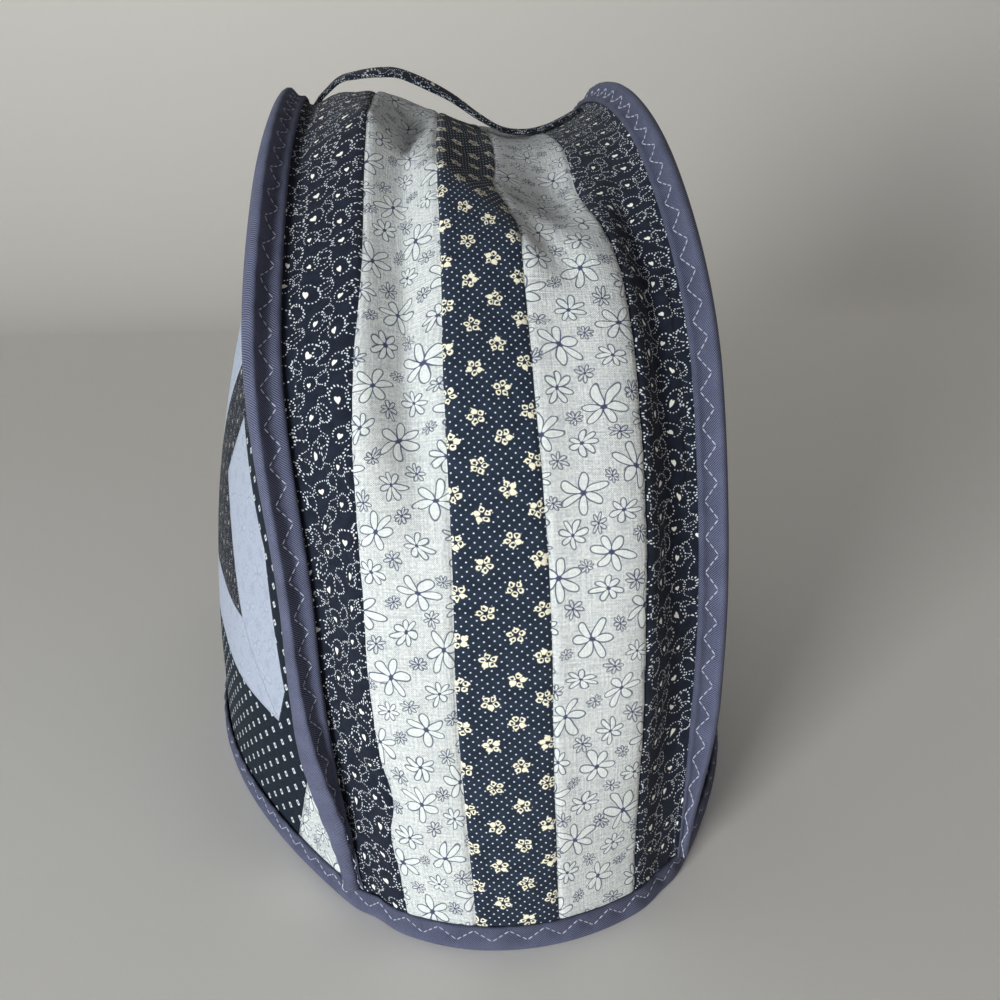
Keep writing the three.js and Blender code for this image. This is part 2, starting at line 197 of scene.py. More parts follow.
# steps used to find directions at a seam: along it, across the gusset, and into the panel in mm
STEP_ALONG, STEP_ACROSS, STEP_INTO_PANEL = 0.004, 0.9, 5


def seam_frame(side, at):
    """Seam point, directions to gusset and panel, up the bound seam, across it, and its depth."""
    ahead, behind = min(at + STEP_ALONG, 2.0), max(at - STEP_ALONG, 0.0)
    tangent = unit(seam_point(side, ahead) - seam_point(side, behind))
    here, sign = seam_point(side, at), -1 if side == "front" else 1
    x, z, nx, nz = (float(v) for v in outline(at))

    def square(v):
        return unit(v - tangent * v.dot(tangent))

    def turned_to(v, way):
        return v * np.sign(v.dot(way))

    to_gusset = square(gusset_row(at, np.array([STEP_ACROSS * sign]))[0] - here)
    to_panel = square(panel_point(side, x - STEP_INTO_PANEL * nx, z - STEP_INTO_PANEL * nz) - here)
    gusset_out = turned_to(np.cross(tangent, to_gusset), [nx, 0, nz])
    panel_out = turned_to(np.cross(tangent, to_panel), [0, sign, 0])
    fin = unit(gusset_out + panel_out)
    over = turned_to(np.cross(tangent, fin), to_gusset)
    lean = math.radians(float(curve(SEAM_LEAN, 1 if side == "front" else 2, at)))
    up = fin * math.cos(lean) - over * math.sin(lean)
    to = over * math.cos(lean) + fin * math.sin(lean)
    risen = float(step_between(HEM_TAPE, BINDING_FULL_AT, z))
    depth = BINDING_DEPTH_LOW + (BINDING_DEPTH - BINDING_DEPTH_LOW) * risen
    return here, to_gusset, to_panel, up, to, depth


# %% Stations along the gusset
HEM_TOP_HEIGHTS, ABOVE_HEM = (8.3, 9.0, 9.6, 10.4), 12.0


def places(low, upright_step, crown_step):
    """Places along the gusset from near hem to far hem, some close together at the hem tape's top."""
    heights = [low] + [h for h in HEM_TOP_HEIGHTS if h > low]
    heights += list(np.arange(ABOVE_HEM, UPRIGHT, upright_step))
    near = [h / UPRIGHT * UPRIGHT_SHARE for h in heights]
    near += [UPRIGHT_SHARE + (1 - UPRIGHT_SHARE) * a / 90 for a in np.arange(0.0, 90.0, crown_step)]
    return np.array(near + [1.0] + [2 - at for at in reversed(near)])


STATIONS = places(HEM_FOOT, 2.5, 1.0)
FRAMES = {side: [seam_frame(side, at) for at in STATIONS] for side in ("front", "back")}
print("stations along the gusset:", len(STATIONS))

# %% [markdown]
# ## One way to write shader maths
# A print is drawn by arithmetic on the cloth's own coordinates. Wiring hundreds of Math nodes by
# hand hides the idea, so a small class wraps a socket: adding two of them adds a Math node, and one
# method makes any other node.


# %% Shader values that behave like numbers
class Value:
    """One output socket of a node tree."""

    def __init__(self, socket):
        self.socket = socket

    def node(self, kind, settings=None, inputs=None, out=0):
        """A new node: its settings first, then the values or links of its sockets. Gives one output."""
        tree = self.socket.id_data
        made = tree.nodes.new(kind)
        for key, value in (settings or {}).items():
            setattr(made, key, value)
        for key, value in (inputs or {}).items():
            if isinstance(value, Value):
                tree.links.new(value.socket, made.inputs[key])
            else:
                made.inputs[key].default_value = value
        return Value(made.outputs[out])

    def math(self, operation, *others):
        return self.node("ShaderNodeMath", {"operation": operation}, dict(enumerate((self, *others))))

    def flipped(self, operation, other):
        return self.node("ShaderNodeMath", {"operation": operation}, {0: other, 1: self})

    __add__ = __radd__ = partialmethod(math, "ADD")
    __sub__, __rsub__ = partialmethod(math, "SUBTRACT"), partialmethod(flipped, "SUBTRACT")
    __mul__ = __rmul__ = partialmethod(math, "MULTIPLY")
    __truediv__, __rtruediv__ = partialmethod(math, "DIVIDE"), partialmethod(flipped, "DIVIDE")
    __abs__ = partialmethod(math, "ABSOLUTE")

    def ramp(self, start, end):
        """0 at start and 1 at end, eased; start may be the larger."""
        return self.node("ShaderNodeMapRange", {"interpolation_type": "SMOOTHSTEP"},
                         {"Value": self, "From Min": start, "From Max": end})

    def mix(self, low, high):
        """A colour between two, by this value."""
        inputs = {"Factor": self, 6: low, 7: high}
        return self.node("ShaderNodeMix", {"data_type": "RGBA"}, inputs, 2)


# %% Small shader helpers
def vector(x, y):
    return x.node("ShaderNodeCombineXYZ", {}, {"X": x, "Y": y})


def noise(x, y, scale, detail=2.0):
    inputs = {"Vector": vector(x, y), "Scale": scale, "Detail": detail}
    return x.node("ShaderNodeTexNoise", {"noise_dimensions": "2D"}, inputs)


def paint(r, g, b):
    """A colour given as it looks on a screen, 0 to 255, as the linear numbers that shaders use."""
    def linear(c):
        c /= 255
        return c / 12.92 if c <= 0.04045 else ((c + 0.055) / 1.055) ** 2.4
    return (linear(r), linear(g), linear(b), 1.0)


print("middle grey for a shader:", [round(c, 3) for c in paint(128, 128, 128)])


# %% Starting and finishing a material
def start_material(name):
    """A new cloth material: its shader, and the cloth's two coordinates in millimetres."""
    material = bpy.data.materials.new(name)
    material.use_nodes = True
    tree = material.node_tree
    shader = tree.nodes["Principled BSDF"]
    for key, value in (("Sheen Weight", 0.05), ("Sheen Roughness", 0.5), ("Specular IOR Level", 0.12)):
        shader.inputs[key].default_value = value
    uv = tree.nodes.new("ShaderNodeUVMap")
    uv.uv_map = "cloth"
    split = tree.nodes.new("ShaderNodeSeparateXYZ")
    tree.links.new(uv.outputs[0], split.inputs[0])
    return material, shader, Value(split.outputs[0]), Value(split.outputs[1])


def finish_material(shader, colour, height, roughness):
    """Links a colour, a relief in millimetres and a roughness to the shader."""
    tree = shader.id_data
    relief = height.node("ShaderNodeBump", {}, {"Height": height, "Distance": 0.001, "Strength": 1.0})
    for source, target in ((colour, "Base Color"), (relief, "Normal"), (roughness, "Roughness")):
        tree.links.new(source.socket, shader.inputs[target])


# %% [markdown]
# ## The four printed cloths
# Each cotton has a repeat: a motif in cells that are staggered like bricks. A cell's own random
# numbers turn and shift its motif a little, so the cloth looks drawn and not stamped. Line daisies
# on pale slub linen, cream blossoms among pin dots, dotted hearts, and rows of small squares are
# all ordinary motifs, drawn here from circles and petals.


# %% Helpers for repeating motifs
def repeat(x, y, across, up, stagger, seed):
    """Place inside the cells of a staggered repeat, and three random numbers of the cell."""
    column = (x / across).math("FLOOR")
    raised = y / up + column * stagger
    row = raised.math("FLOOR")
    cell = vector(column + seed, row)
    dice = cell.node("ShaderNodeTexWhiteNoise", {"noise_dimensions": "2D"}, {"Vector": cell}, "Color")
    chance = [dice.node("ShaderNodeSeparateColor", {}, {0: dice}, k) for k in range(3)]
    return (x / across - column - 0.5) * across, (raised - row - 0.5) * up, chance


def length(x, y):
    return (x * x + y * y).math("SQRT")


def twill(x, y, pitch, turn=1.0):
    """Diagonal ribs, 0 to 1."""
    return ((x + y * turn) * (math.tau / pitch)).math("SINE") * 0.5 + 0.5


def most(first, *others):
    """Largest of several values."""
    for other in others:
        first = first.math("MAXIMUM", other)
    return first


def least(first, *others):
    """Smallest of several values."""
    for other in others:
        first = first.math("MINIMUM", other)
    return first


def sway(u, v, scale, apart, reach, detail=2.0):
    """Two slow unevennesses that bend a repeat, in millimetres."""
    return [(noise(u + shift, v, scale, detail) - 0.5) * reach for shift in (0, apart)]


# %% Flowers and dark grounds
def flower(px, py, chance, petals):
    """Distance from a flower's middle, angle from the petal's middle line, and the petal's luck."""
    share = math.tau / petals
    turn = py.math("ARCTAN2", px) + chance[2] * math.tau + 10 * math.tau
    which = (turn / share).math("FLOOR") + chance[0] * 50
    luck = which.node("ShaderNodeTexWhiteNoise", {"noise_dimensions": "1D"}, {"W": which})
    return length(px, py), turn.math("MODULO", share) - share / 2, luck


def dark_twill(u, v, pitch, turn, rib, base, depth, low, high):
    """Colour and relief of a worn dark twill, from its darkest to its palest paint."""
    ribs, worn = twill(u, v, pitch, turn), noise(u, v, 0.3, 4.0)
    colour = (ribs * rib + worn * 0.7 - base).mix(paint(*low), paint(*high))
    return colour, ribs * depth + worn * 0.05


# %% Daisy linen
DAISY_CELL, THREAD_PITCH = (15.6, 17.6), 0.56
# shift across and up, seed, petals, reach, width of a petal, width of the line, wander
DAISIES = [
    (0.0, 0.0, 3.0, 6, 6.2, 1.3, 0.22, 1.4),
    (7.8, 9.0, 11.0, 7, 4.0, 0.84, 0.21, 1.6),
    (7.8, 0.2, 29.0, 8, 2.2, 0.42, 0.19, 0.8),
    (0.0, 8.8, 47.0, 7, 2.7, 0.52, 0.19, 1.0),
]


def daisy(x, y, seed, petals, reach, wide, line, wander):
    """Line drawn daisies: the lines, the insides of the petals, and the distance from the middle."""
    px, py, chance = repeat(x, y, *DAISY_CELL, 0.0, seed)
    px, py = px + (chance[0] - 0.5) * wander, py + (chance[1] - 0.5) * wander
    away, angle, luck = flower(px, py, chance, petals)
    angle = abs(angle + (luck - 0.5) * 0.16)
    half = (luck * 0.2 + 0.84) * (chance[1] * 0.14 + 0.9) * (reach * 0.45)
    along = (away * angle.math("COSINE") - half - reach * 0.07) / half
    breadth = (along * 0.16 + 0.84) * wide
    aside = away * angle.math("SINE") / breadth
    round_it = length(along, aside)
    steep = length(along / half, aside / breadth) + 0.02
    lines = (abs(round_it - 1) * round_it / steep).ramp(line, line * 0.45)
    centre = away.ramp(reach * 0.15, reach * 0.08)
    return most(lines, centre), round_it.ramp(1.0, 0.85), away


def daisy_linen(u, v):
    """Colour and relief of the pale linen with line daisies."""
    sway_x, sway_y = sway(u, v, 0.06, 90, 6)
    x, y = v * 0.9 + u * 0.44 + sway_x, u * 0.9 - v * 0.44 + sway_y
    drawn = [daisy(x - shift_x, y - shift_y, *rest) for shift_x, shift_y, *rest in DAISIES]
    lines, insides, aways = zip(*drawn)
    slub = noise(u * 0.12, v * 2.4, 1.0, 3.0) + noise(u * 2.4, v * 0.12, 1.0, 3.0)
    weave = (u * (math.tau / THREAD_PITCH)).math("SINE") * (v * (math.tau / THREAD_PITCH)).math("SINE")
    grain = noise(u * 1.5, v * 1.5, 1.0, 1.0)
    ground = slub * 0.8 + grain * 0.9 + weave * 0.42 - 0.75
    cloth = ground.mix(paint(164, 170, 173), paint(240, 241, 237))
    inside = (most(*insides[:2]) * 0.5).mix(cloth, paint(238, 242, 238))
    near = least(*(away * size for away, size in zip(aways, (1, 1.5, 2, 2))))
    ink = near.ramp(0.8, 4.0).mix(paint(30, 44, 90), paint(86, 97, 110))
    return (most(*lines) * 0.92).mix(inside, ink), slub * 0.16 + weave * 0.05


print("daisy repeat, mm:", DAISY_CELL)


# %% Blossom cloth with pin dots
BLOSSOM_CELL, BLOSSOM_STAGGER, BLOSSOM_PETALS = (6.35, 12.5), 0.47, 5
PIN_DOT_PITCH, FINE_RIBS = 1.66, 0.62


def blossom_cloth(u, v):
    """Colour and relief of the navy cloth with cream blossoms among pin dots."""
    sway_x, sway_y = sway(u, v, 0.9, 70, 0.8)
    px, py, chance = repeat(v + sway_x, u + sway_y, *BLOSSOM_CELL, BLOSSOM_STAGGER, 5.0)
    px, py = (px + (chance[0] - 0.5) * 0.6) * 1.1, (py + (chance[1] - 0.5) * 0.8) * 1.1
    away, angle, luck = flower(px, py, chance, BLOSSOM_PETALS)
    along, aside = away * angle.math("COSINE") - 1.38, away * angle.math("SINE")
    whole = luck.ramp(0.8, 0.82)
    parted = (away * (math.pi / BLOSSOM_PETALS - abs(angle)).math("SINE")).ramp(0.08, 0.26)
    petal = length(along * (luck * 0.2 + 0.8), aside).ramp(0.94, 0.76)
    eye = length(along - 0.05, aside - 0.08).ramp(0.3, 0.48)
    blossom = petal * most(eye, whole) * away.ramp(0.5, 0.68) * most(parted, whole)
    tip = length(along - 1.02, aside - 0.3).ramp(0.34, 0.16) * luck.ramp(0.4, 0.42)
    dx, dy, _ = repeat(v * 0.74 - u * 0.67, v * 0.67 + u * 0.74, PIN_DOT_PITCH, PIN_DOT_PITCH, 0.0, 0.0)
    dots = length(dx, dy).ramp(0.28, 0.13) * away.ramp(2.4, 2.7)
    navy, relief = dark_twill(u, v, FINE_RIBS, -1.0, 0.9, 0.3, 0.07, (10, 15, 25), (50, 62, 80))
    colour = dots.mix(navy, paint(226, 231, 240))
    return most(tip, blossom).mix(colour, paint(244, 238, 212)), relief


print("blossom repeat, mm:", BLOSSOM_CELL)


# %% Hearts cloth
HEART_CELL, HEART_STAGGER, HEART_SIZE, SCROLL_STEP = (8.8, 9.6), 0.45, 0.76, 3.4


def hearts_cloth(u, v):
    """Colour and relief of the near-black cloth with hearts among dotted loops and scrolls."""
    def beads(x, y, radius, count):
        """Round dots on a circle."""
        bead = (y.math("ARCTAN2", x) * (count / math.tau) + 20).math("FRACT") - 0.5
        return length(length(x, y) - radius, bead * (math.tau * radius / count)).ramp(0.27, 0.15)

    def lattice(shift_x, shift_y, seed):
        """Place in the cells of the repeat, turned and shifted a little in each cell."""
        px, py, chance = repeat(x + shift_x, y + shift_y, *HEART_CELL, HEART_STAGGER, seed)
        lean = (chance[0] - 0.5) * 1.2
        cosine, sine = lean.math("COSINE"), lean.math("SINE")
        px, py = px + (chance[1] - 0.5) * 1.4, py + (chance[2] - 0.5) * 1.4
        return px * cosine - py * sine, px * sine + py * cosine

    def open_loop(rx, ry, radius, count):
        """A ring of dots with a gap in it."""
        gap = most(abs(rx + radius * 0.7), ry + radius * 0.8)
        return beads(rx, ry, radius, count) * gap.ramp(0.6, 0.9)

    def scroll(offset):
        """A dotted line of half circles that bulge left and right in turn."""
        step, line = y / SCROLL_STEP, (x + offset) / HEART_CELL[0]
        row = step.math("FLOOR")
        side = (row * 0.5).math("FRACT") * 4 - 1
        sx = (line - line.math("FLOOR") - 0.5) * HEART_CELL[0] * side
        sy = (step - row - 0.5) * SCROLL_STEP
        return beads(sx, sy, SCROLL_STEP / 2, 11) * sx.ramp(-0.35, -0.2)

    sway_x, sway_y = sway(u, v, 0.1, 70, 4, 0.0)
    x, y = v + sway_x, u + sway_y
    rx, ry = lattice(0.0, 0.0, 7.0)
    side = abs(rx) / HEART_SIZE
    heart = length(side, ry / HEART_SIZE - side.math("SQRT") * 0.85).ramp(1.12, 0.92)
    loop = open_loop(rx - 0.7, ry - 0.9, 2.7, 18)
    other = open_loop(*lattice(4.4, 3.2, 23.0), 2.3, 15)
    marks = most(loop, other, scroll(4.0))
    dark, relief = dark_twill(u, v, FINE_RIBS, 1.0, 0.95, 0.38, 0.05, (5, 8, 16), (43, 50, 67))
    colour = (marks * 0.95).mix(dark, paint(226, 230, 234))
    return heart.mix(colour, paint(250, 248, 236)), relief


print("hearts repeat, mm:", HEART_CELL)


# %% Squares cloth
SQUARE_CELL, SQUARE_RIBS = (4.65, 7.7), 0.95


def squares_cloth(u, v):
    """Colour and relief of the teal-black cloth with rows of small hollow squares."""
    px, py, _ = repeat(v, u, *SQUARE_CELL, 0.5, 1.0)
    squares = most(abs(px), abs(py)).ramp(0.95, 0.82) * length(px, py).ramp(0.3, 0.5)
    dark, relief = dark_twill(u, v, SQUARE_RIBS, 1.0, 0.5, 0.2, 0.06, (7, 15, 24), (26, 42, 58))
    return (squares * 0.95).mix(dark, paint(220, 228, 232)), relief


# %% [markdown]
# ## Materials of the gusset, strap and inside
# Every strip is a straight length of one cloth, so each strip's faces get that cloth's own material
# and the join between strips stays as sharp as cut cotton. The back of the padded cloth is plain
# unprinted cotton.


# %% Printed cloth materials
def finish_cotton(shader, u, v, colour, height):
    """Finishes a printed cloth with the fine unevenness that all of them have."""
    fine = noise(u, v, 1.1, 2.0)
    finish_material(shader, colour, height + fine * 0.1, fine * 0.12 + 0.82)


def printed(name, cloth):
    material, shader, u, v = start_material(name)
    finish_cotton(shader, u, v, *cloth(u, v))
    return material


hearts_material = printed("dotted_hearts_cotton", hearts_cloth)
daisy_material = printed("line_daisy_linen", daisy_linen)
blossom_material = printed("blossom_pin_dot_cotton", blossom_cloth)


# %% Plain backing
def plain_backing():
    material, shader, u, v = start_material("plain_cotton_backing")
    weave = noise(u * 2.4, v * 0.6, 1.3) * noise(u * 0.6, v * 2.4, 1.3)
    soiled = noise(u, v, 0.05, 3.0)
    colour = (weave * 0.8 + soiled * 0.4).mix(paint(176, 176, 178), paint(222, 221, 216))
    finish_material(shader, colour, weave * 0.2 + soiled * 0.1, soiled * 0.1 + 0.85)
    return material


backing_material = plain_backing()
print("materials so far:", [m.name for m in bpy.data.materials])

# %% [markdown]
# ## From a middle surface to padded cloth
# A padded cloth is a sheet of even thickness whose face is a little uneven: pressed in at each join
# and puffed beside it. Solidify could thicken a surface, but then the face and the back would share
# their relief, so the two sides are offset here by hand and closed along the edges.


# %% Mesh makers
def add_object(name, data):
    obj = bpy.data.objects.new(name, data)
    bpy.context.scene.collection.objects.link(obj)
    return obj


def as_object(name, points, faces, corner_uv, face_material, materials):
    """A smooth mesh from points in millimetres; a face that repeats its last corner is a triangle."""
    triangle = faces[:, 3] == faces[:, 2]
    lists = [list(f[:3]) if t else list(f) for f, t in zip(faces.tolist(), triangle)]
    keep = np.ones(faces.shape, bool)
    keep[triangle, 3] = False
    mesh = bpy.data.meshes.new(name)
    mesh.from_pydata((points * 0.001).tolist(), [], lists)
    mesh.polygons.foreach_set("use_smooth", np.ones(len(faces), bool))
    mesh.polygons.foreach_set("material_index", np.asarray(face_material, np.int32))
    layer = mesh.uv_layers.new(name="cloth")
    layer.uv.foreach_set("vector", corner_uv[keep].astype(np.float32).ravel())
    for material in materials:
        mesh.materials.append(material)
    mesh.update()
    print(name, "points", len(points), "faces", len(faces))
    return add_object(name, mesh)


# %% Padded sheets
def outward(points, faces):
    """Mean direction of the faces round each point."""
    p = points[faces]
    normal = np.cross(p[:, 2] - p[:, 0], p[:, 3] - p[:, 1])
    total = np.zeros_like(points)
    for k in range(4):
        np.add.at(total, faces[:, k], normal)
    return total / np.maximum(np.linalg.norm(total, axis=1, keepdims=True), 1e-9)


def quads(index, u, left, right):
    """Faces of a grid of point numbers, and their coordinates: u by row, v at both sides of a column."""
    faces = np.stack([index[:-1, :-1], index[:-1, 1:], index[1:, 1:], index[1:, :-1]], -1)
    uv = np.zeros(faces.shape + (2,))
    low, top = u[:-1, None], u[1:, None]
    for corner, (row, column) in enumerate(((low, left), (low, right), (top, right), (top, left))):
        uv[:, :, corner, 0], uv[:, :, corner, 1] = row, column
    return faces, uv


def turned_over(faces, corner_uv):
    """The same faces and their coordinates, seen from behind."""
    triangle = (faces[:, 3] == faces[:, 2])[:, None]
    order = np.where(triangle, [0, 2, 1, 1], [0, 3, 2, 1])
    return np.take_along_axis(faces, order, 1), np.take_along_axis(corner_uv, order[:, :, None], 1)


def padded_sheet(name, points, faces, corner_uv, face_material, relief, materials):
    """Padded cloth on both sides of a middle surface; the last material is its back."""
    lift = outward(points, faces)
    count = len(points)
    both = np.vstack([points + lift * (CLOTH / 2 + relief)[:, None], points - lift * CLOTH / 2])
    under, under_uv = turned_over(faces, corner_uv)
    used = {}
    for n, f in enumerate(faces.tolist()):
        for k in range(4):
            a, b = f[k], f[(k + 1) % 4]
            if a != b:
                used[a, b] = (n, k)
    free = [(a, b, *spot) for (a, b), spot in used.items() if (b, a) not in used]
    edge = np.array([(b, a, a + count, b + count) for a, b, _, _ in free])
    edge_uv = np.array([corner_uv[n][[(k + 1) % 4, k, k, (k + 1) % 4]] for _, _, n, k in free])
    edge_material = [face_material[n] for _, _, n, _ in free]
    back = [len(materials) - 1] * len(faces)
    return as_object(
        name, both, np.vstack([faces, under + count, edge]),
        np.concatenate([corner_uv, under_uv, edge_uv]),
        list(face_material) + back + edge_material, materials,
    )


# %% [markdown]
# ## The gusset
# The gusset is one long band pieced from five strips, hem over the top to hem. Its columns of
# points follow the strips, so each join is an edge of the mesh. The joins are drawn in by their
# stitches and pucker; the edges beyond the bound seams turn outward and disappear inside the tape.

# %% Turned edges and folds
STRIP_SHARES = np.array(
    [0, 0.02, 0.06, 0.12, 0.2, 0.3, 0.4, 0.5, 0.6, 0.7, 0.8, 0.88, 0.94, 0.98, 1.0])
EDGE_ACROSS, EDGE_POINTS = 0.955, 3
# a turned edge: how far in it lies flat, how far aside its fold stands, the heights it rises between
FLAT_EDGE_IN, FOLD_ASIDE, RISE_FROM, RISE_TO = 1.4, 0.95, 8.6, 10.2
# about how many millimetres one unit across and one unit along the gusset are
MM_ACROSS, MM_ALONG = 60, 310
# finer folds: along, across, reach along, reach across, depth
SOFT_FOLDS = [
    (1.07, 0.42, 0.05, 0.26, 2.2),
    (0.55, 0.25, 0.1, 0.2, 0.8),
    (0.2, -0.55, 0.09, 0.14, 0.9),
    (0.3, 0.4, 0.12, 0.15, 0.7),
    (0.42, 0.6, 0.4, 0.2, 3.8),
    (0.6, 0.46, 0.06, 0.2, 3.0),
    (0.62, -0.5, 0.28, 0.1, 2.4),
]
# creases: from along, across, to along, across, reach before and beyond the line in mm, height
CREASES = [
    (0.81, -0.62, 0.622, 0.18, 32, 24, 6.2),
    (0.655, 0.22, 0.595, 0.42, 9, 8, -3.4),
    (0.88, -0.36, 0.46, -0.43, 14, 12, -9.0),
    (0.222, -0.95, 0.196, -0.76, 6, 6, 1.8),
    (0.196, -0.93, 0.172, -0.7, 5, 5, -1.6),
    (0.172, -0.93, 0.148, -0.71, 6, 6, 1.8),
    (0.148, -0.93, 0.122, -0.72, 5, 5, -1.2),
    (0.7, 0.83, 0.34, 0.8, 7, 6, -3.0),
]
# piecing seam, place along, reach along, how far the seam is pulled aside
JOIN_KINKS = [
    (3, 0.715, 0.05, -0.055),
    (3, 0.645, 0.022, 0.015),
    (1, 0.152, 0.03, 0.035),
    (1, 0.11, 0.025, -0.015),
    (4, 0.72, 0.06, -0.02),
]


def bump(place, middle, reach):
    """A smooth rise to 1 round a middle."""
    return np.exp(-(((place - middle) / reach) ** 2))


def lengths(points):
    """Length along a line of points, up to each of them."""
    return np.concatenate([[0], np.cumsum(np.linalg.norm(np.diff(points, axis=0), axis=1))])


def turned_edge(side, i, cloth):
    """Fold and raw edge of a cloth at a bound seam; inside the hem tape the edge lies flat."""
    here, to_gusset, to_panel, up, to, depth = FRAMES[side][i]
    along, sign = (to_gusset, 1) if cloth == "gusset" else (to_panel, -1)
    flat_edge = here + along * FLAT_EDGE_IN
    flat_fold = flat_edge + along * CLOTH
    fold = here + to * FOLD_ASIDE * sign
    edge = fold + up * (depth - SEAM_EDGE_SHORT)
    risen = float(step_between(RISE_FROM, RISE_TO, here[2]))
    return flat_fold + (fold - flat_fold) * risen, flat_edge + (edge - flat_edge) * risen


def gusset_places(at):
    """Places across the gusset: the strips' edges and the columns between them."""
    joins = [-EDGE_ACROSS] + [float(curve(PIECING_PLACES, k, at)) for k in JOINS] + [EDGE_ACROSS]
    for join, kink_at, reach, aside in JOIN_KINKS:
        joins[join] += aside * bump(at, kink_at, reach)
    across = [joins[0]]
    for left, right in zip(joins, joins[1:]):
        across += list(left + (right - left) * STRIP_SHARES[1:])
    return np.array(across)


# %% Finer folds
def wobble(a, b, seed):
    """Gentle unevenness, mostly between -1 and 1, from a few crossed waves of seeded turns and sizes."""
    rng = np.random.default_rng(seed)
    total = 0.0
    for _ in range(7):
        turn, phase, size = rng.uniform(0, math.tau), rng.uniform(0, math.tau), rng.uniform(0.6, 1.7)
        total = total + np.sin((a * math.cos(turn) + b * math.sin(turn)) * size + phase)
    return total / 4


def finer_folds(at, across):
    """How far the finer folds and creases move the cloth at one place along, for places across."""
    total = np.zeros_like(across)
    for fold in SOFT_FOLDS:
        total += dimple(at, across, fold)
    for at_1, across_1, at_2, across_2, before, beyond, height in CREASES:
        way_x, way_y = (across_2 - across_1) * MM_ACROSS, (at_2 - at_1) * MM_ALONG
        size = math.hypot(way_x, way_y)
        way_x, way_y = way_x / size, way_y / size
        x, y = (across - across_1) * MM_ACROSS, (at - at_1) * MM_ALONG
        along, aside = x * way_x + y * way_y, y * way_x - x * way_y
        slope = np.sqrt(aside ** 2 + 1) / np.where(aside > 0, beyond, before)
        ridge = np.clip(1 - slope, 0, 1) ** 1.25
        fade = 3 + 2.5 * abs(height)
        ends = step_between(-fade, fade / 2, along) * step_between(size + fade, size - fade / 2, along)
        total += height * ridge * ends
    clear_of_hem = step_between(0.03, 0.17, min(at, 2 - at))
    return total * clear_of_hem * step_between(EDGE_ACROSS, 0.87, np.abs(across))


# %% Gusset cloth
# each strip's cloth, and a shift that keeps the prints of two strips from starting alike
STRIP_CLOTHS, STRIP_SHIFTS = np.array([0, 1, 2, 1, 0]), np.array([0.0, 37.0, 5.0, 113.0, 61.0])


def make_gusset():
    rows = []
    for i, at in enumerate(STATIONS):
        edges = {}
        for side in ("front", "back"):
            fold, edge = turned_edge(side, i, "gusset")
            edges[side] = [edge, (fold + edge) / 2, fold]
        across = gusset_places(at)
        inner = gusset_row(at, across) + finer_folds(at, across)[:, None] * out_at(at)
        rows.append([*edges["front"], *inner, *edges["back"][::-1]])
    grid = np.array(rows)
    high, wide = grid.shape[:2]
    gaps = np.linalg.norm(np.diff(grid, axis=1), axis=2).mean(axis=0)
    across, along = np.concatenate([[0], np.cumsum(gaps)]), lengths(grid[:, wide // 2])
    joins = [EDGE_POINTS + (len(STRIP_SHARES) - 1) * k for k in JOINS]
    strip = np.searchsorted(joins, np.arange(wide - 1), side="right")
    starts, shift = across[[0] + joins][strip], STRIP_SHIFTS[strip]
    index, aside = np.arange(high * wide).reshape(high, wide), shift * 1.7 - starts
    faces, uv = quads(index, along, across[:-1] + aside, across[1:] + aside)
    uv[..., 0] += shift[:, None]
    near_join = np.min(np.abs(across[:, None] - across[joins][None]), axis=1)
    groove = -0.6 * bump(near_join, 0, 0.4) + 0.25 * bump(near_join, 2.2, 1.6)
    pucker = 0.22 * bump(near_join, 0, 4.0) * wobble(along[:, None] * 0.85, across[None] * 0.25, 4)
    soft = 0.35 * wobble(along[:, None] * 0.14, across[None] * 0.16, 9)
    relief = groove[None] + pucker + soft
    relief[:, :EDGE_POINTS + 1] = relief[:, -EDGE_POINTS - 1:] = 0
    return padded_sheet(
        "gusset_cloth", grid.reshape(-1, 3), faces.reshape(-1, 4), uv.reshape(-1, 4, 2),
        np.tile(STRIP_CLOTHS[strip], high - 1), relief.ravel(),
        [hearts_material, daisy_material, blossom_material, backing_material],
    )


gusset_cloth = make_gusset()

# %% [markdown]
# ## The two side panels
# Each panel is one padded patchwork piece: pale diamonds and a hearts band on the squares cloth.
# Its patches meet in straight lines, so the material picks the cloth by which side of those lines a
# point lies, and presses the joins in. The half that the photograph doesn't show is its plain
# mirror image.


# %% Patchwork material
def inside_of(x, z, corners):
    """How far a point is inside a convex patch, in millimetres; corners run clockwise."""
    gaps = []
    for (ax, az), (bx, bz) in zip(corners, corners[1:] + corners[:1]):
        size = math.hypot(bx - ax, bz - az)
        nx, nz = (bz - az) / size, -(bx - ax) / size
        gaps.append(x * nx + z * nz - (ax * nx + az * nz))
    return least(*gaps)


def inside_any(x, z, patches):
    """How far a point is inside the nearest of several patches."""
    return most(*(inside_of(x, z, corners) for corners in patches))


PALE_PATCHES = [
    [(81, 139), (109, 105), (119, 62), (112.5, 48.5), (86, 73), (58, 114.5)],
    [(86, 73), (112.5, 48.5), (-1, 50), (-1, 71)],
    [(-1, 240), (150, 240), (150, 226), (-1, 93)],
]
DAISY_PATCHES = [
    [(130.5, 42), (152, 4), (113.5, 4)],
]
HEARTS_PATCHES = [
    [(-1, 240), (150, 240), (150, 136), (-1, 136)],
    [(-1, 152), (84, 152), (90, 60), (-1, 60)],
]
JOIN_EDGE = 0.12


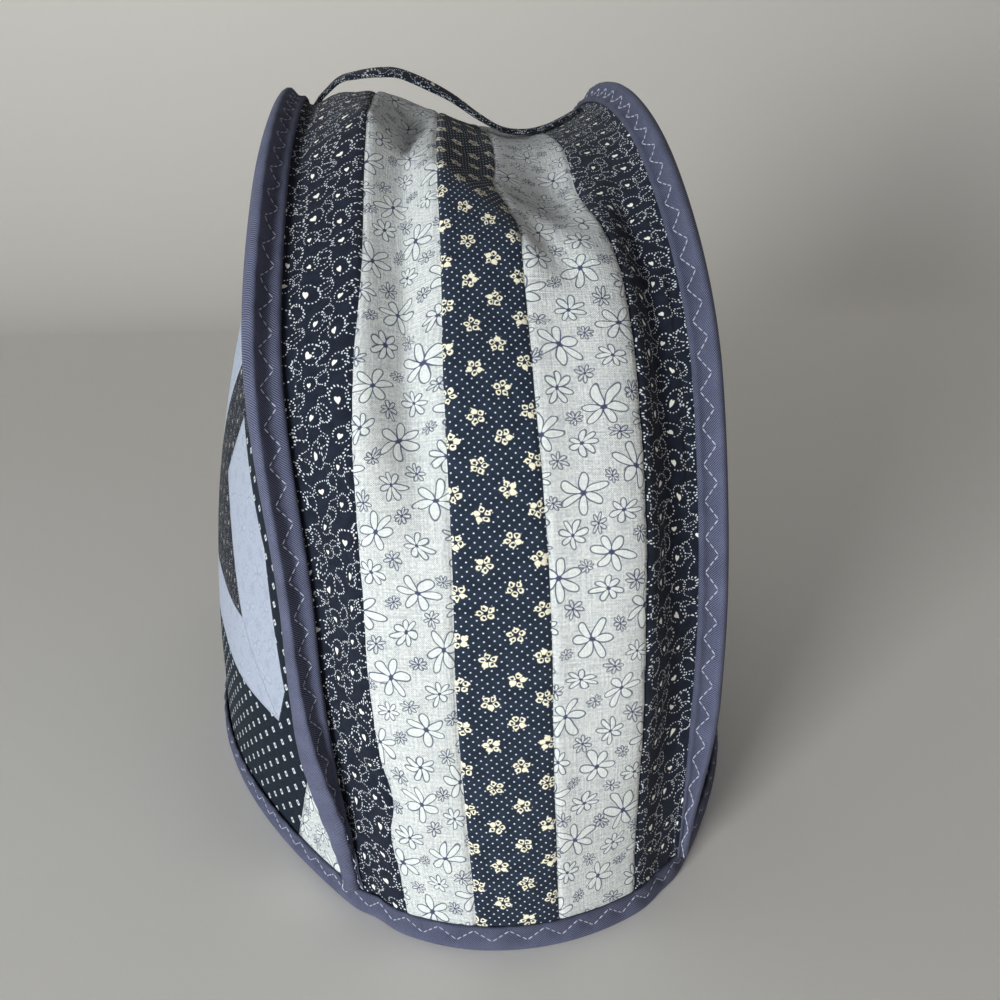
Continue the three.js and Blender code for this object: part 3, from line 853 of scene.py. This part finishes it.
def patchwork():
    material, shader, u, v = start_material("patchwork_cotton")
    pale, dark, flowered = (
        inside_any(abs(u), v, patches) for patches in (PALE_PATCHES, HEARTS_PATCHES, DAISY_PATCHES))
    bias, cross = u * 0.8 + v * 0.6, v * 0.8 - u * 0.6
    colour, ground_height = squares_cloth(bias, cross * -1)
    hearts, _ = hearts_cloth(cross, bias)
    linen, linen_height = daisy_linen(cross + 4, bias)
    dulled = (u * 0 + 0.5).mix(hearts, paint(20, 25, 34))
    faint = (noise(u, v, 0.5) * 0.1 + 0.76).mix(linen, paint(170, 180, 201))
    for gap, cloth in ((dark, dulled), (pale, faint), (flowered, linen)):
        colour = gap.ramp(-JOIN_EDGE, JOIN_EDGE).mix(colour, cloth)
    join = least(abs(pale), abs(flowered), most(abs(dark), pale * 4))
    pressed = join.ramp(0.9, 0.0) * -0.5 + join.ramp(5.0, 1.5) * 0.15
    finish_cotton(shader, u, v, colour, ground_height + linen_height + pressed)
    return material


patchwork_material = patchwork()
print("patches in half a panel:", len(PALE_PATCHES + DAISY_PATCHES + HEARTS_PATCHES))


# %% Panel cloths
PANEL_COLUMNS = 48
# rims of points follow the arched edge this far inside it, and the level rows between them stop some
# stations below the crest, where they would end in slivers
RIM_INSETS, CAP_STATIONS = (8.0, 6.0, 4.2, 2.8, 1.7), 6
TURNED_WIDTH, BELLY, SLANT = 8.0, 36.0, 1.02


def make_panel(side):
    last = len(STATIONS) - 1
    x, z, nx, nz = outline(STATIONS)
    points, flat, faces, rows = [], [], [], []

    def put(p, fx, fz):
        points.append(p)
        bend = 2 * BELLY / HALF_LENGTH ** 2
        flat.append((0.5 * (fx * math.hypot(1, bend * fx) + math.asinh(bend * fx) / bend), fz * SLANT))
        return len(points) - 1

    def put_on_panel(px, pz):
        return put(panel_point(side, px, pz), px, pz)

    def rim_place(i, inset):
        return float(x[i] - inset * nx[i]), float(z[i] - inset * nz[i])

    def add_band(lower, upper):
        faces.extend(zip(lower, lower[1:], upper[1:], upper))

    rings = [[put_on_panel(*rim_place(i, inset)) for i in range(last + 1)] for inset in RIM_INSETS]
    edges = [turned_edge(side, i, "panel") for i in range(last + 1)]
    for share in (0.0, 0.5, 1.0):
        rings.append([
            put(fold + (edge - fold) * share, *rim_place(i, -TURNED_WIDTH * share))
            for i, (fold, edge) in enumerate(edges)
        ])
    for k in range(last // 2 - CAP_STATIONS):
        px, pz = rim_place(k, RIM_INSETS[0])
        inner = [put_on_panel(px * (1 - 2 * m / PANEL_COLUMNS), pz) for m in range(1, PANEL_COLUMNS)]
        rows.append([rings[0][k], *inner, rings[0][last - k]])
    for lower, upper in zip(rows, rows[1:]):
        add_band(lower, upper)
    row, cap = rows[-1], rings[0][len(rows) - 1:last - len(rows) + 2]
    m = j = 0
    while m < PANEL_COLUMNS or j < len(cap) - 1:
        row_next = m < PANEL_COLUMNS and (
            j == len(cap) - 1 or points[row[m + 1]][0] >= points[cap[j + 1]][0])
        corner = (row[m], row[m + 1], cap[j]) if row_next else (row[m], cap[j + 1], cap[j])
        if len(set(corner)) == 3:
            faces.append(corner + corner[2:])
        m, j = (m + 1, j) if row_next else (m, j + 1)
    for inner, outer in zip(rings, rings[1:]):
        add_band(inner, outer)
    points, flat, faces = np.array(points), np.array(flat), np.array(faces)
    if side == "front":
        faces, _ = turned_over(faces, flat[faces])
    soft = 0.7 * wobble(flat[:, 0] * 0.06, flat[:, 1] * 0.05, 21 if side == "front" else 22)
    soft[np.concatenate(rings[3:])] = 0
    return padded_sheet(
        side + "_panel_cloth", points, faces, flat[faces], np.zeros(len(faces), int), soft,
        [patchwork_material, backing_material],
    )


front_panel_cloth, back_panel_cloth = make_panel("front"), make_panel("back")

# %% [markdown]
# ## Tape on the seams and the hem
# The tape is slate-blue twill folded over the edges and held by zigzag stitches that press it flat,
# so it stands in soft rolls on both sides of the zigzag. A sweep along a curve would give an even
# tape; here each section is moved in by its distance from the zigzag line.


# %% Tape material
# across the flat tape in mm: the end of one face, the far edge, the start of the inside, and its end
FACE_FLAT, TAPE_FLAT, INSIDE_FLAT, ALL_FLAT = 6.5, 19, 23.6, 26.0


def twill_tape():
    """Material of the tape; it is painted a little paler along its fold, a painted highlight for the
    light on the rolled fold.
    """
    material, shader, u, v = start_material("slate_twill_tape")
    ribs = twill(u, v, 0.64, -1.0)
    worn = noise(u, v, 0.12, 4.0)
    thread = noise(u * 1.2, v * 1.2, 1.5, 2.0)
    # painted highlight: the tape is paler near its rolled fold, where the light catches the roll
    fold_highlight = abs(v - TAPE_FLAT / 2).ramp(6.5, 1.5)
    tone = ribs * 0.85 + worn * 0.35 + thread * 0.3 + fold_highlight * 0.14 - 0.4
    colour = tone.mix(paint(36, 39, 55), paint(118, 122, 149))
    finish_material(shader, colour, ribs * 0.05 + thread * 0.08 + worn * 0.12, worn * 0.12 + 0.78)
    return material


tape_material = twill_tape()
print("flat tape, mm wide:", TAPE_FLAT)


# %% Zigzag and sweep
ZIGZAG_PITCH = 9.8


def zigzag(s, low, high):
    """Height of the zigzag line on the tape at a length along it."""
    phase = np.mod(s / ZIGZAG_PITCH, 1.0)
    return low + (high - low) * np.abs(2 * phase - 1)


def from_zigzag(s, h, low, high):
    """Distance of a place on the tape from the zigzag line."""
    slope = 2 * (high - low) / ZIGZAG_PITCH
    return np.abs(h - zigzag(s, low, high)) / np.sqrt(1 + slope ** 2)


def along_line(s, line, values):
    """Points or directions of a line at other lengths along it."""
    return np.stack([np.interp(s, line, values[:, k]) for k in range(3)], -1)


def sweep(name, sections, flat_v, flat_u, ring, materials):
    """A closed tube through matching sections, as a ring or with closed ends."""
    count, size = sections.shape[:2]
    index = np.arange(count * size).reshape(count, size)
    around = np.hstack([index, index[:, :1]])
    if ring:
        around = np.vstack([around, around[:1]])
    faces, uv = quads(around, flat_u, flat_v[:-1], flat_v[1:])
    faces, uv = faces.reshape(-1, 4), uv.reshape(-1, 4, 2)
    points = sections.reshape(-1, 3)
    if not ring:
        caps = []
        for row, order in ((index[0], 1), (index[-1], -1)):
            for k in range(size // 2 - 1):
                caps.append([row[k], row[size - 1 - k], row[size - 2 - k], row[k + 1]][::order])
        faces = np.vstack([faces, np.array(caps)])
        uv = np.concatenate([uv, np.zeros((len(caps), 4, 2))])
    p = points[faces]
    volume = sum((p[:, 0] * np.cross(p[:, k], p[:, k + 1])).sum() for k in (1, 2))
    if volume < 0:
        faces, uv = faces[:, ::-1], uv[:, ::-1]
    return as_object(name, points, faces, uv, np.zeros(len(faces), int), materials)


# %% Seam bindings
BINDING_PLACES = places(9.6, 1.3, 0.5)
FACE_SHARES = np.linspace(0, 1, 15)
CAP_ANGLES = np.radians([65, 39, 13, -13, -39, -65])
ZIGZAG_SHARES = (0.22, 0.64)
# half thickness, its least, half of the space inside, and the height of the rounded fold
TAPE_HALF, TAPE_HALF_LEAST, INSIDE_HALF, FOLD_ROUND = 2.55, 2.05, 1.95, 1.9
# where each tape stands wider: how much, place along, reach
WIDER = {"front": (1.4, 0.58, 0.2), "back": (0.9, 0.93, 0.09)}


class BoundSeam:
    """The tape of one bound seam, by length along it, height up it and distance aside."""

    def __init__(self, side):
        frames = [seam_frame(side, at) for at in BINDING_PLACES]
        self.here, self.up, self.to = (np.array([f[k] for f in frames]) for k in (0, 3, 4))
        wider, where, reach = WIDER[side]
        self.depth = np.array([f[5] for f in frames]) + wider * bump(BINDING_PLACES, where, reach)
        self.s = lengths(self.here)
        heavy = 2.1 * step_between(0.9, 0.66, BINDING_PLACES) if side == "front" else 0
        self.roll = {1: 1.1 + heavy + self.s * 0, -1: 1.1 + self.s * 0}
        self.low, self.high = (
            BINDING_FOOT + share * (self.depth - BINDING_FOOT) for share in ZIGZAG_SHARES)

    def zigzag_reach(self, s):
        """Lowest and highest place of the zigzag."""
        return np.interp(s, self.s, self.low), np.interp(s, self.s, self.high)

    def swell(self, s, h, face):
        """Half thickness: rolls at the tape's edge and fold, pressed in along the zigzag."""
        place = (h - BINDING_FOOT) / (np.interp(s, self.s, self.depth) - BINDING_FOOT)
        roll = np.interp(s, self.s, self.roll[face])
        rolls = roll * bump(place, 0.84, 0.3) + 0.85 * bump(place, 0.12, 0.13)
        pressed = 0.6 * bump(from_zigzag(s, h, *self.zigzag_reach(s)), 0, 1.1)
        uneven = 0.14 * wobble(s * 0.3, h * 0.3, 31)
        return np.maximum(TAPE_HALF + rolls - pressed + uneven, TAPE_HALF_LEAST)

    def at(self, s, h, w):
        """A point of the tape, and the direction aside."""
        here, up, to = (along_line(s, self.s, values) for values in (self.here, self.up, self.to))
        return here + up * h[:, None] + to * w[:, None], to


# %% Binding tapes
def tape_mesh(name, tape, s, section, ring):
    """Sweeps a tape through its section: heights, distances aside and places across the flat tape."""
    columns = [tape.at(s, np.zeros_like(s) + h, np.zeros_like(s) + w)[0] for h, w, _ in section]
    flat = np.array([v for _, _, v in section] + [ALL_FLAT])
    return sweep(name, np.stack(columns, 1), flat, tape.s, ring, [tape_material])


def make_binding(side):
    seam = BoundSeam(side)
    s, foot, roll = seam.s, BINDING_FOOT, seam.depth - FOLD_ROUND
    faces = [(foot + (roll - foot) * share, share * FACE_FLAT) for share in FACE_SHARES]
    section = [(h, seam.swell(s, h, 1), v) for h, v in faces]
    for angle in CAP_ANGLES:
        half = seam.swell(s, roll, 1 if angle >= 0 else -1)
        v = TAPE_FLAT / 2 - math.degrees(angle) / 30
        section.append((roll + FOLD_ROUND * math.cos(angle), half * math.sin(angle), v))
    section += [(h, -seam.swell(s, h, -1), TAPE_FLAT - v) for h, v in faces[::-1]]
    for k, (h, sign) in enumerate(((foot, -1), (roll, -1), (roll, 1), (foot, 1)), 1):
        section.append((h, INSIDE_HALF * sign, INSIDE_FLAT + 0.1 * k))
    return seam, tape_mesh(side + "_binding_tape", seam, s, section, False)


front_seam, front_binding_tape = make_binding("front")
back_seam, back_binding_tape = make_binding("back")
print("tape length on each seam, mm:", round(float(front_seam.s[-1])), round(float(back_seam.s[-1])))

# %% [markdown]
# ## The hem
# The hem's tape runs round the whole lower edge and stands flat on the table. Its path is the lower
# edge of the four cloths, walked once round, made even and rounded a little where the seams meet
# it.


# %% Hem path
STEPS_PER_PITCH, HEM_HALF, HEM_ZIGZAG = 8, 2.3, (3.3, 6.9)
HEM_HEIGHTS = np.linspace(HEM_TAPE, 1.3, 13)
# the folded foot and the inside of its section: distance aside, height
HEM_FOLD = ((2.05, 0.5), (1.6, 0.0), (-1.6, 0.0), (-2.05, 0.5))
HEM_INSIDE = ((-1.0, HEM_TAPE), (-1.0, HEM_FOOT), (1.0, HEM_FOOT), (1.0, HEM_TAPE))


def hem_walk(z):
    """Middle line of the cloths at one height, once round."""
    near, far = z / UPRIGHT * UPRIGHT_SHARE, 2 - z / UPRIGHT * UPRIGHT_SHARE
    across = np.linspace(-1, 1, 81)
    along = np.linspace(HALF_LENGTH, -HALF_LENGTH, 161)[1:-1]
    return np.vstack([
        gusset_row(near, across), panel_point("back", along, np.full_like(along, z)),
        gusset_row(far, across[::-1]), panel_point("front", along[::-1], np.full_like(along, z)),
    ])


def round_off(loop, reach):
    """Smooths a closed walk of even steps."""
    weights = bump(np.arange(-9, 10), 0, reach)
    return sum(w * np.roll(loop, k - 9, axis=0) for k, w in enumerate(weights)) / weights.sum()


# %% Hem tape
class Hem:
    """The tape round the lower edge, by length along it, height and distance aside."""

    def __init__(self):
        low, high = hem_walk(HEM_FOOT), hem_walk(HEM_TAPE)
        walk = lengths(np.vstack([low, low[:1]]))
        pitches = round(walk[-1] / ZIGZAG_PITCH)
        steps = pitches * STEPS_PER_PITCH
        number = np.arange(len(walk))
        place = np.interp(np.arange(steps) * walk[-1] / steps, walk, number)
        self.low, self.high = (
            round_off(along_line(place, number, np.vstack([loop, loop[:1]])), 2.6)
            for loop in (low, high))
        ahead = np.roll(self.low, -1, 0) - np.roll(self.low, 1, 0)
        self.out = np.stack([ahead[:, 1], -ahead[:, 0], np.zeros(steps)], -1)
        self.out /= np.linalg.norm(self.out, axis=1, keepdims=True)
        self.s = np.arange(steps + 1) * (pitches * ZIGZAG_PITCH / steps)

    def zigzag_reach(self, _):
        """Lowest and highest place of the zigzag, the same all round."""
        return HEM_ZIGZAG

    def swell(self, s, h, _):
        """Half thickness of either face, pressed in along the zigzag and tucked in at the top edge."""
        pressed = 0.65 * bump(from_zigzag(s, h, *HEM_ZIGZAG), 0, 1.15)
        uneven = 0.08 * wobble(s * 0.3, h * 0.3, 33)
        return HEM_HALF - pressed - 0.4 * bump(h, HEM_TAPE, 0.6) + uneven

    def at(self, s, h, w):
        """A point of the tape, and the direction aside."""
        low, high, out = (
            along_line(s, self.s, np.vstack([values, values[:1]]))
            for values in (self.low, self.high, self.out))
        middle = low + (high - low) * ((h - HEM_FOOT) / (HEM_TAPE - HEM_FOOT))[:, None]
        middle[:, 2] = h
        return middle + out * w[:, None], out


def make_hem():
    """The hem's section is heights, distances aside and places across the flat tape, once round."""
    hem = Hem()
    s = hem.s[:-1]
    section = [(h, hem.swell(s, h, 1), 8 - h) for h in HEM_HEIGHTS]
    section += [(h, w, 9.7 - w) for w, h in HEM_FOLD]
    section += [(h, -hem.swell(s, h, -1), 12 + h) for h in HEM_HEIGHTS[::-1]]
    section += [(h, w, 24.0) for w, h in HEM_INSIDE]
    return hem, tape_mesh("hem_binding_tape", hem, s, section, True)


hem, hem_binding_tape = make_hem()
print("hem length, mm:", round(float(hem.s[-1])))

# %% [markdown]
# ## The strap
# A strip of the hearts cloth, folded to a flat band and sewn in at both seams. It arches over the
# front half and lies on the sagging top behind, so it is swept along a line that is lifted off the
# gusset.


# %% Strap cloth
STRAP_WIDTH, STRAP_THICK = 8.0, 2.0
# place across, place along, lift, twist of the strap
STRAP_ROWS = np.array([
    (-0.9, 1, 0.9, 10), (-0.78, 1, 2.8, 12), (-0.6, 1, 5, 16), (-0.4, 1, 6.4, 20),
    (-0.2, 0.998, 6.2, 20), (0.0, 0.994, 4.8, 16), (0.16, 0.986, 2.7, 10), (0.3, 0.979, 1.4, 4),
    (0.5, 0.976, 1.2, 0), (0.75, 0.98, 0.9, 0), (0.9, 0.99, 0.9, 0),
])
STRAP_SECTION, STRAP_STATIONS = 24, np.linspace(-0.98, 0.97, 97)
# the strap lies on a part of the hearts cloth of its own, away from the gusset's
STRAP_CLOTH_U, STRAP_CLOTH_V, STRAP_ROUND = 300, 200, 20


def make_strap():
    across = STRAP_STATIONS
    at, lift = curve(STRAP_ROWS, 1, across), curve(STRAP_ROWS, 2, across)
    lift -= 3.0 * step_between(0.9, 0.98, np.abs(across))
    twist = np.radians(curve(STRAP_ROWS, 3, across))
    taper = 1 - 0.45 * step_between(0.6, 0.93, np.abs(across))
    middle = np.array([gusset_row(a, np.array([c]))[0] for a, c in zip(at, across)])
    middle[:, 2] += CLOTH / 2 + lift + STRAP_THICK / 2 + np.abs(np.sin(twist)) * taper * STRAP_WIDTH / 2
    ahead = np.gradient(middle, axis=0)
    ahead /= np.linalg.norm(ahead, axis=1, keepdims=True)
    level = np.array([1.0, 0.0, 0.0])
    side = np.cos(twist)[:, None] * level + np.sin(twist)[:, None] * np.cross(ahead, level)
    thick = np.cross(side, ahead)
    columns, flat, s = [], [], lengths(middle)
    for angle in np.linspace(0, math.tau, STRAP_SECTION, endpoint=False):
        wide = np.sign(math.cos(angle)) * abs(math.cos(angle)) ** 0.45 * STRAP_WIDTH / 2
        high = np.sign(math.sin(angle)) * abs(math.sin(angle)) ** 0.6 * STRAP_THICK / 2
        swell = 1 + 0.08 * wobble(s * 0.5, angle, 41)
        aside, above = (wide * taper)[:, None], (high * swell * taper ** 0.5)[:, None]
        columns.append(middle + side * aside + thick * above)
        flat.append(math.degrees(angle) / 360 * STRAP_ROUND + STRAP_CLOTH_V)
    flat = np.array(flat + [float(STRAP_CLOTH_V + STRAP_ROUND)])
    sections = np.stack(columns, 1)
    return sweep("handle_strap_cloth", sections, flat, s + STRAP_CLOTH_U, False, [hearts_material])


handle_strap_cloth = make_strap()

# %% [markdown]
# ## The zigzag stitches
# The sewing machine made hundreds of short stitches of pale thread, three to a leg of the zigzag,
# on both faces of every tape. Points on the tape mark where they lie; Geometry Nodes put one small
# thread on each point, turn it along the zigzag, and make it real.


# %% Thread material
def pale_thread():
    material, shader, u, v = start_material("pale_sewing_thread")
    place = u.node("ShaderNodeTexCoord", {}, {}, "Object")
    tone = place.node("ShaderNodeTexNoise", {}, {"Vector": place, "Scale": 900.0})
    colour = tone.mix(paint(136, 140, 164), paint(212, 215, 228))
    finish_material(shader, colour, tone * 0.05, tone * 0.1 + 0.6)
    return material


thread_material = pale_thread()


# %% Stitch tree
def stitch_tree():
    """Puts a long bead on every point, turned along the zigzag; gives the tree and its inputs' names."""
    tree = bpy.data.node_groups.new("stitches_on_points", "GeometryNodeTree")
    sockets = {}
    for name, kind in (("Geometry",) * 2, ("Length", "Float"), ("Thread", "Float"), ("Material",) * 2):
        made = tree.interface.new_socket(name, in_out="INPUT", socket_type="NodeSocket" + kind)
        sockets[name] = made.identifier
    tree.interface.new_socket("Geometry", in_out="OUTPUT", socket_type="NodeSocketGeometry")
    given = tree.nodes.new("NodeGroupInput").outputs
    points, long, thread, material = (Value(given[name]) for name in sockets)
    ball = {"Segments": 6, "Rings": 5, "Radius": 0.5}
    bead = points.node("GeometryNodeMeshUVSphere", {}, ball, "Mesh")
    size = points.node("ShaderNodeCombineXYZ", {}, {"X": long, "Y": thread, "Z": thread})
    turn = {}
    for axis, pivot, name in (("X", "AUTO", "stitch_along"), ("Z", "X", "stitch_out")):
        settings = {"data_type": "FLOAT_VECTOR"}
        way = points.node("GeometryNodeInputNamedAttribute", settings, {"Name": name}, "Attribute")
        settings = {"axis": axis, "pivot_axis": pivot}
        turn["Rotation"] = way.node(
            "FunctionNodeAlignRotationToVector", settings, {"Vector": way, **turn}, "Rotation")
    made = points.node(
        "GeometryNodeInstanceOnPoints", {}, {"Points": points, "Instance": bead, "Scale": size, **turn})
    made = made.node("GeometryNodeRealizeInstances", {}, {0: made})
    made = made.node("GeometryNodeSetShadeSmooth", {}, {0: made})
    made = made.node("GeometryNodeSetMaterial", {}, {0: made, "Material": material})
    tree.links.new(made.socket, tree.nodes.new("NodeGroupOutput").inputs[0])
    return tree, sockets


STITCH_TREE, STITCH_INPUTS = stitch_tree()
print("stitch inputs:", list(STITCH_INPUTS))


# %% Stitches on every tape
STITCHES_PER_LEG, STITCH_SHARE, STITCH_PROUD = 3, 0.8, 0.1
THREAD = 0.38


def stitch_places(tape):
    """Middle, direction and facing of every stitch on both faces of a tape."""
    leg = ZIGZAG_PITCH / 2
    s = (np.arange(int(tape.s[-1] / leg) * STITCHES_PER_LEG) + 0.5) / STITCHES_PER_LEG * leg
    found = []
    for face in (1, -1):
        ends = []
        for step in (-STITCH_SHARE / 2, STITCH_SHARE / 2):
            at = s + step * leg / STITCHES_PER_LEG
            h = zigzag(at, *tape.zigzag_reach(at))
            point, aside = tape.at(at, h, tape.swell(at, h, face) * face)
            ends.append((point, aside * face))
        (a, out), (b, _) = ends
        found.append(((a + b) / 2 + out * STITCH_PROUD, b - a, out))
    return [np.vstack(rows) for rows in zip(*found)]


def make_stitches(name, tape, length_mm):
    middles, ways, out = stitch_places(tape)
    mesh = bpy.data.meshes.new(name)
    mesh.from_pydata((middles * 0.001).tolist(), [], [])
    for key, values in (("stitch_along", ways), ("stitch_out", out)):
        attribute = mesh.attributes.new(key, "FLOAT_VECTOR", "POINT")
        attribute.data.foreach_set("vector", values.astype(np.float32).ravel())
    obj = add_object(name, mesh)
    modifier = obj.modifiers.new("stitches", "NODES")
    modifier.node_group = STITCH_TREE
    modifier[STITCH_INPUTS["Length"]] = length_mm * 0.001
    modifier[STITCH_INPUTS["Thread"]] = THREAD * 0.001
    modifier[STITCH_INPUTS["Material"]] = thread_material
    ready = obj.evaluated_get(bpy.context.evaluated_depsgraph_get())
    made = bpy.data.meshes.new_from_object(ready)
    obj.modifiers.remove(modifier)
    obj.data = made
    print(name, "stitches:", len(middles), "faces:", len(made.polygons))
    return obj


front_stitches = make_stitches("front_binding_stitches", front_seam, 1.9)
back_stitches = make_stitches("back_binding_stitches", back_seam, 1.9)
hem_stitches = make_stitches("hem_stitches", hem, 1.7)

# %% [markdown]
# ## Joining the pieces to the frame
# Nothing on this cover moves by itself, so every piece rides on the one body, and the solid that
# each cloth stands for is hidden.

# %% Ride and replace
PIECES = [
    (gusset_cloth, "gusset", "gusset_cloth"),
    (front_panel_cloth, "front_panel", "front_panel_cloth"),
    (back_panel_cloth, "back_panel", "back_panel_cloth"),
    (front_binding_tape, "front_binding", "front_binding_tape"),
    (back_binding_tape, "back_binding", "back_binding_tape"),
    (hem_binding_tape, "hem_binding", "hem_binding_tape"),
    (handle_strap_cloth, "handle_strap", "strap_cloth"),
]
for piece, node, slot in PIECES:
    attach(piece, "root")
    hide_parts(node)
for piece, slot in ((front_stitches, "front_binding_tape"), (back_stitches, "back_binding_tape"),
                    (hem_stitches, "hem_binding_tape")):
    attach(piece, "root")
print("solids replaced:", [node for _, node, _ in PIECES])

# %% [markdown]
# ## Floor, light and camera
# A pale plain floor that curves up behind, one large soft light from the left as from a window, a
# weak warm fill from the right, and the camera where the photograph was taken from.


# %% Floor
FLOOR_HALF, BEND_AT, BEND_RADIUS, WALL_TOP = 2.5, -0.9, 0.5, 2.4


def make_floor():
    profile = [(FLOOR_HALF, 0.0), (BEND_AT, 0.0)]
    for angle in np.radians(np.linspace(0, 90, 13)):
        back, up = math.sin(angle), 1 - math.cos(angle)
        profile.append((BEND_AT - BEND_RADIUS * back, BEND_RADIUS * up))
    profile.append((BEND_AT - BEND_RADIUS, WALL_TOP))
    points = [(x, y, z) for x, z in profile for y in (-FLOOR_HALF, 0.0, FLOOR_HALF)]
    starts = [3 * i + j for i in range(len(profile) - 1) for j in range(2)]
    faces = [(k, k + 1, k + 4, k + 3) for k in starts]
    mesh = bpy.data.meshes.new("floor")
    mesh.from_pydata(points, [], faces)
    mesh.polygons.foreach_set("use_smooth", [True] * len(faces))
    floor = add_object("floor", mesh)
    material = bpy.data.materials.new("pale_floor")
    material.use_nodes = True
    shader = material.node_tree.nodes["Principled BSDF"]
    shader.inputs["Base Color"].default_value = paint(252, 248, 240)
    shader.inputs["Roughness"].default_value = 0.7
    mesh.materials.append(material)


make_floor()


# %% Light
def soft_light(name, place, aim, size, power, colour):
    lamp = bpy.data.lights.new(name, "AREA")
    lamp.shape, lamp.size, lamp.size_y = "RECTANGLE", size, size
    lamp.energy, lamp.color = power, colour
    obj = add_object(name, lamp)
    obj.location = place
    obj.rotation_euler = (Vector(aim) - Vector(place)).to_track_quat("-Z", "Y").to_euler()


soft_light("window_light", (1.367, -0.993, 0.28), (0.0, 0.0, 0.1), 0.45, 29.0, (0.94, 0.98, 1.0))
soft_light("warm_fill", (1.295, 1.087, 0.278), (0.0, 0.0, 0.1), 0.8, 2.5, (1.0, 0.88, 0.74))
world = bpy.data.worlds.new("room")
world.use_nodes = True
for key, value in (("Color", (0.93, 0.95, 1.0, 1.0)), ("Strength", 0.15)):
    world.node_tree.nodes["Background"].inputs[key].default_value = value
bpy.context.scene.world = world
bpy.context.scene.view_settings.view_transform = "Standard"
print("lights:", [light.name for light in bpy.data.lights])

# %% Camera
CAMERA_PLACE, CAMERA_AZIMUTH, CAMERA_DROP = (0.3933, -0.0409, 0.2145), math.radians(82), math.radians(19)
level = math.cos(CAMERA_DROP)
look = Vector((
    -math.sin(CAMERA_AZIMUTH) * level, math.cos(CAMERA_AZIMUTH) * level, -math.sin(CAMERA_DROP)))
camera_data = bpy.data.cameras.new("camera")
camera_data.sensor_width, camera_data.lens, camera_data.clip_start = 36.0, 37.08, 0.01
camera = add_object("camera", camera_data)
camera.location, camera.rotation_euler = CAMERA_PLACE, look.to_track_quat("-Z", "Y").to_euler()
bpy.context.scene.camera = camera
print("camera at:", CAMERA_PLACE)
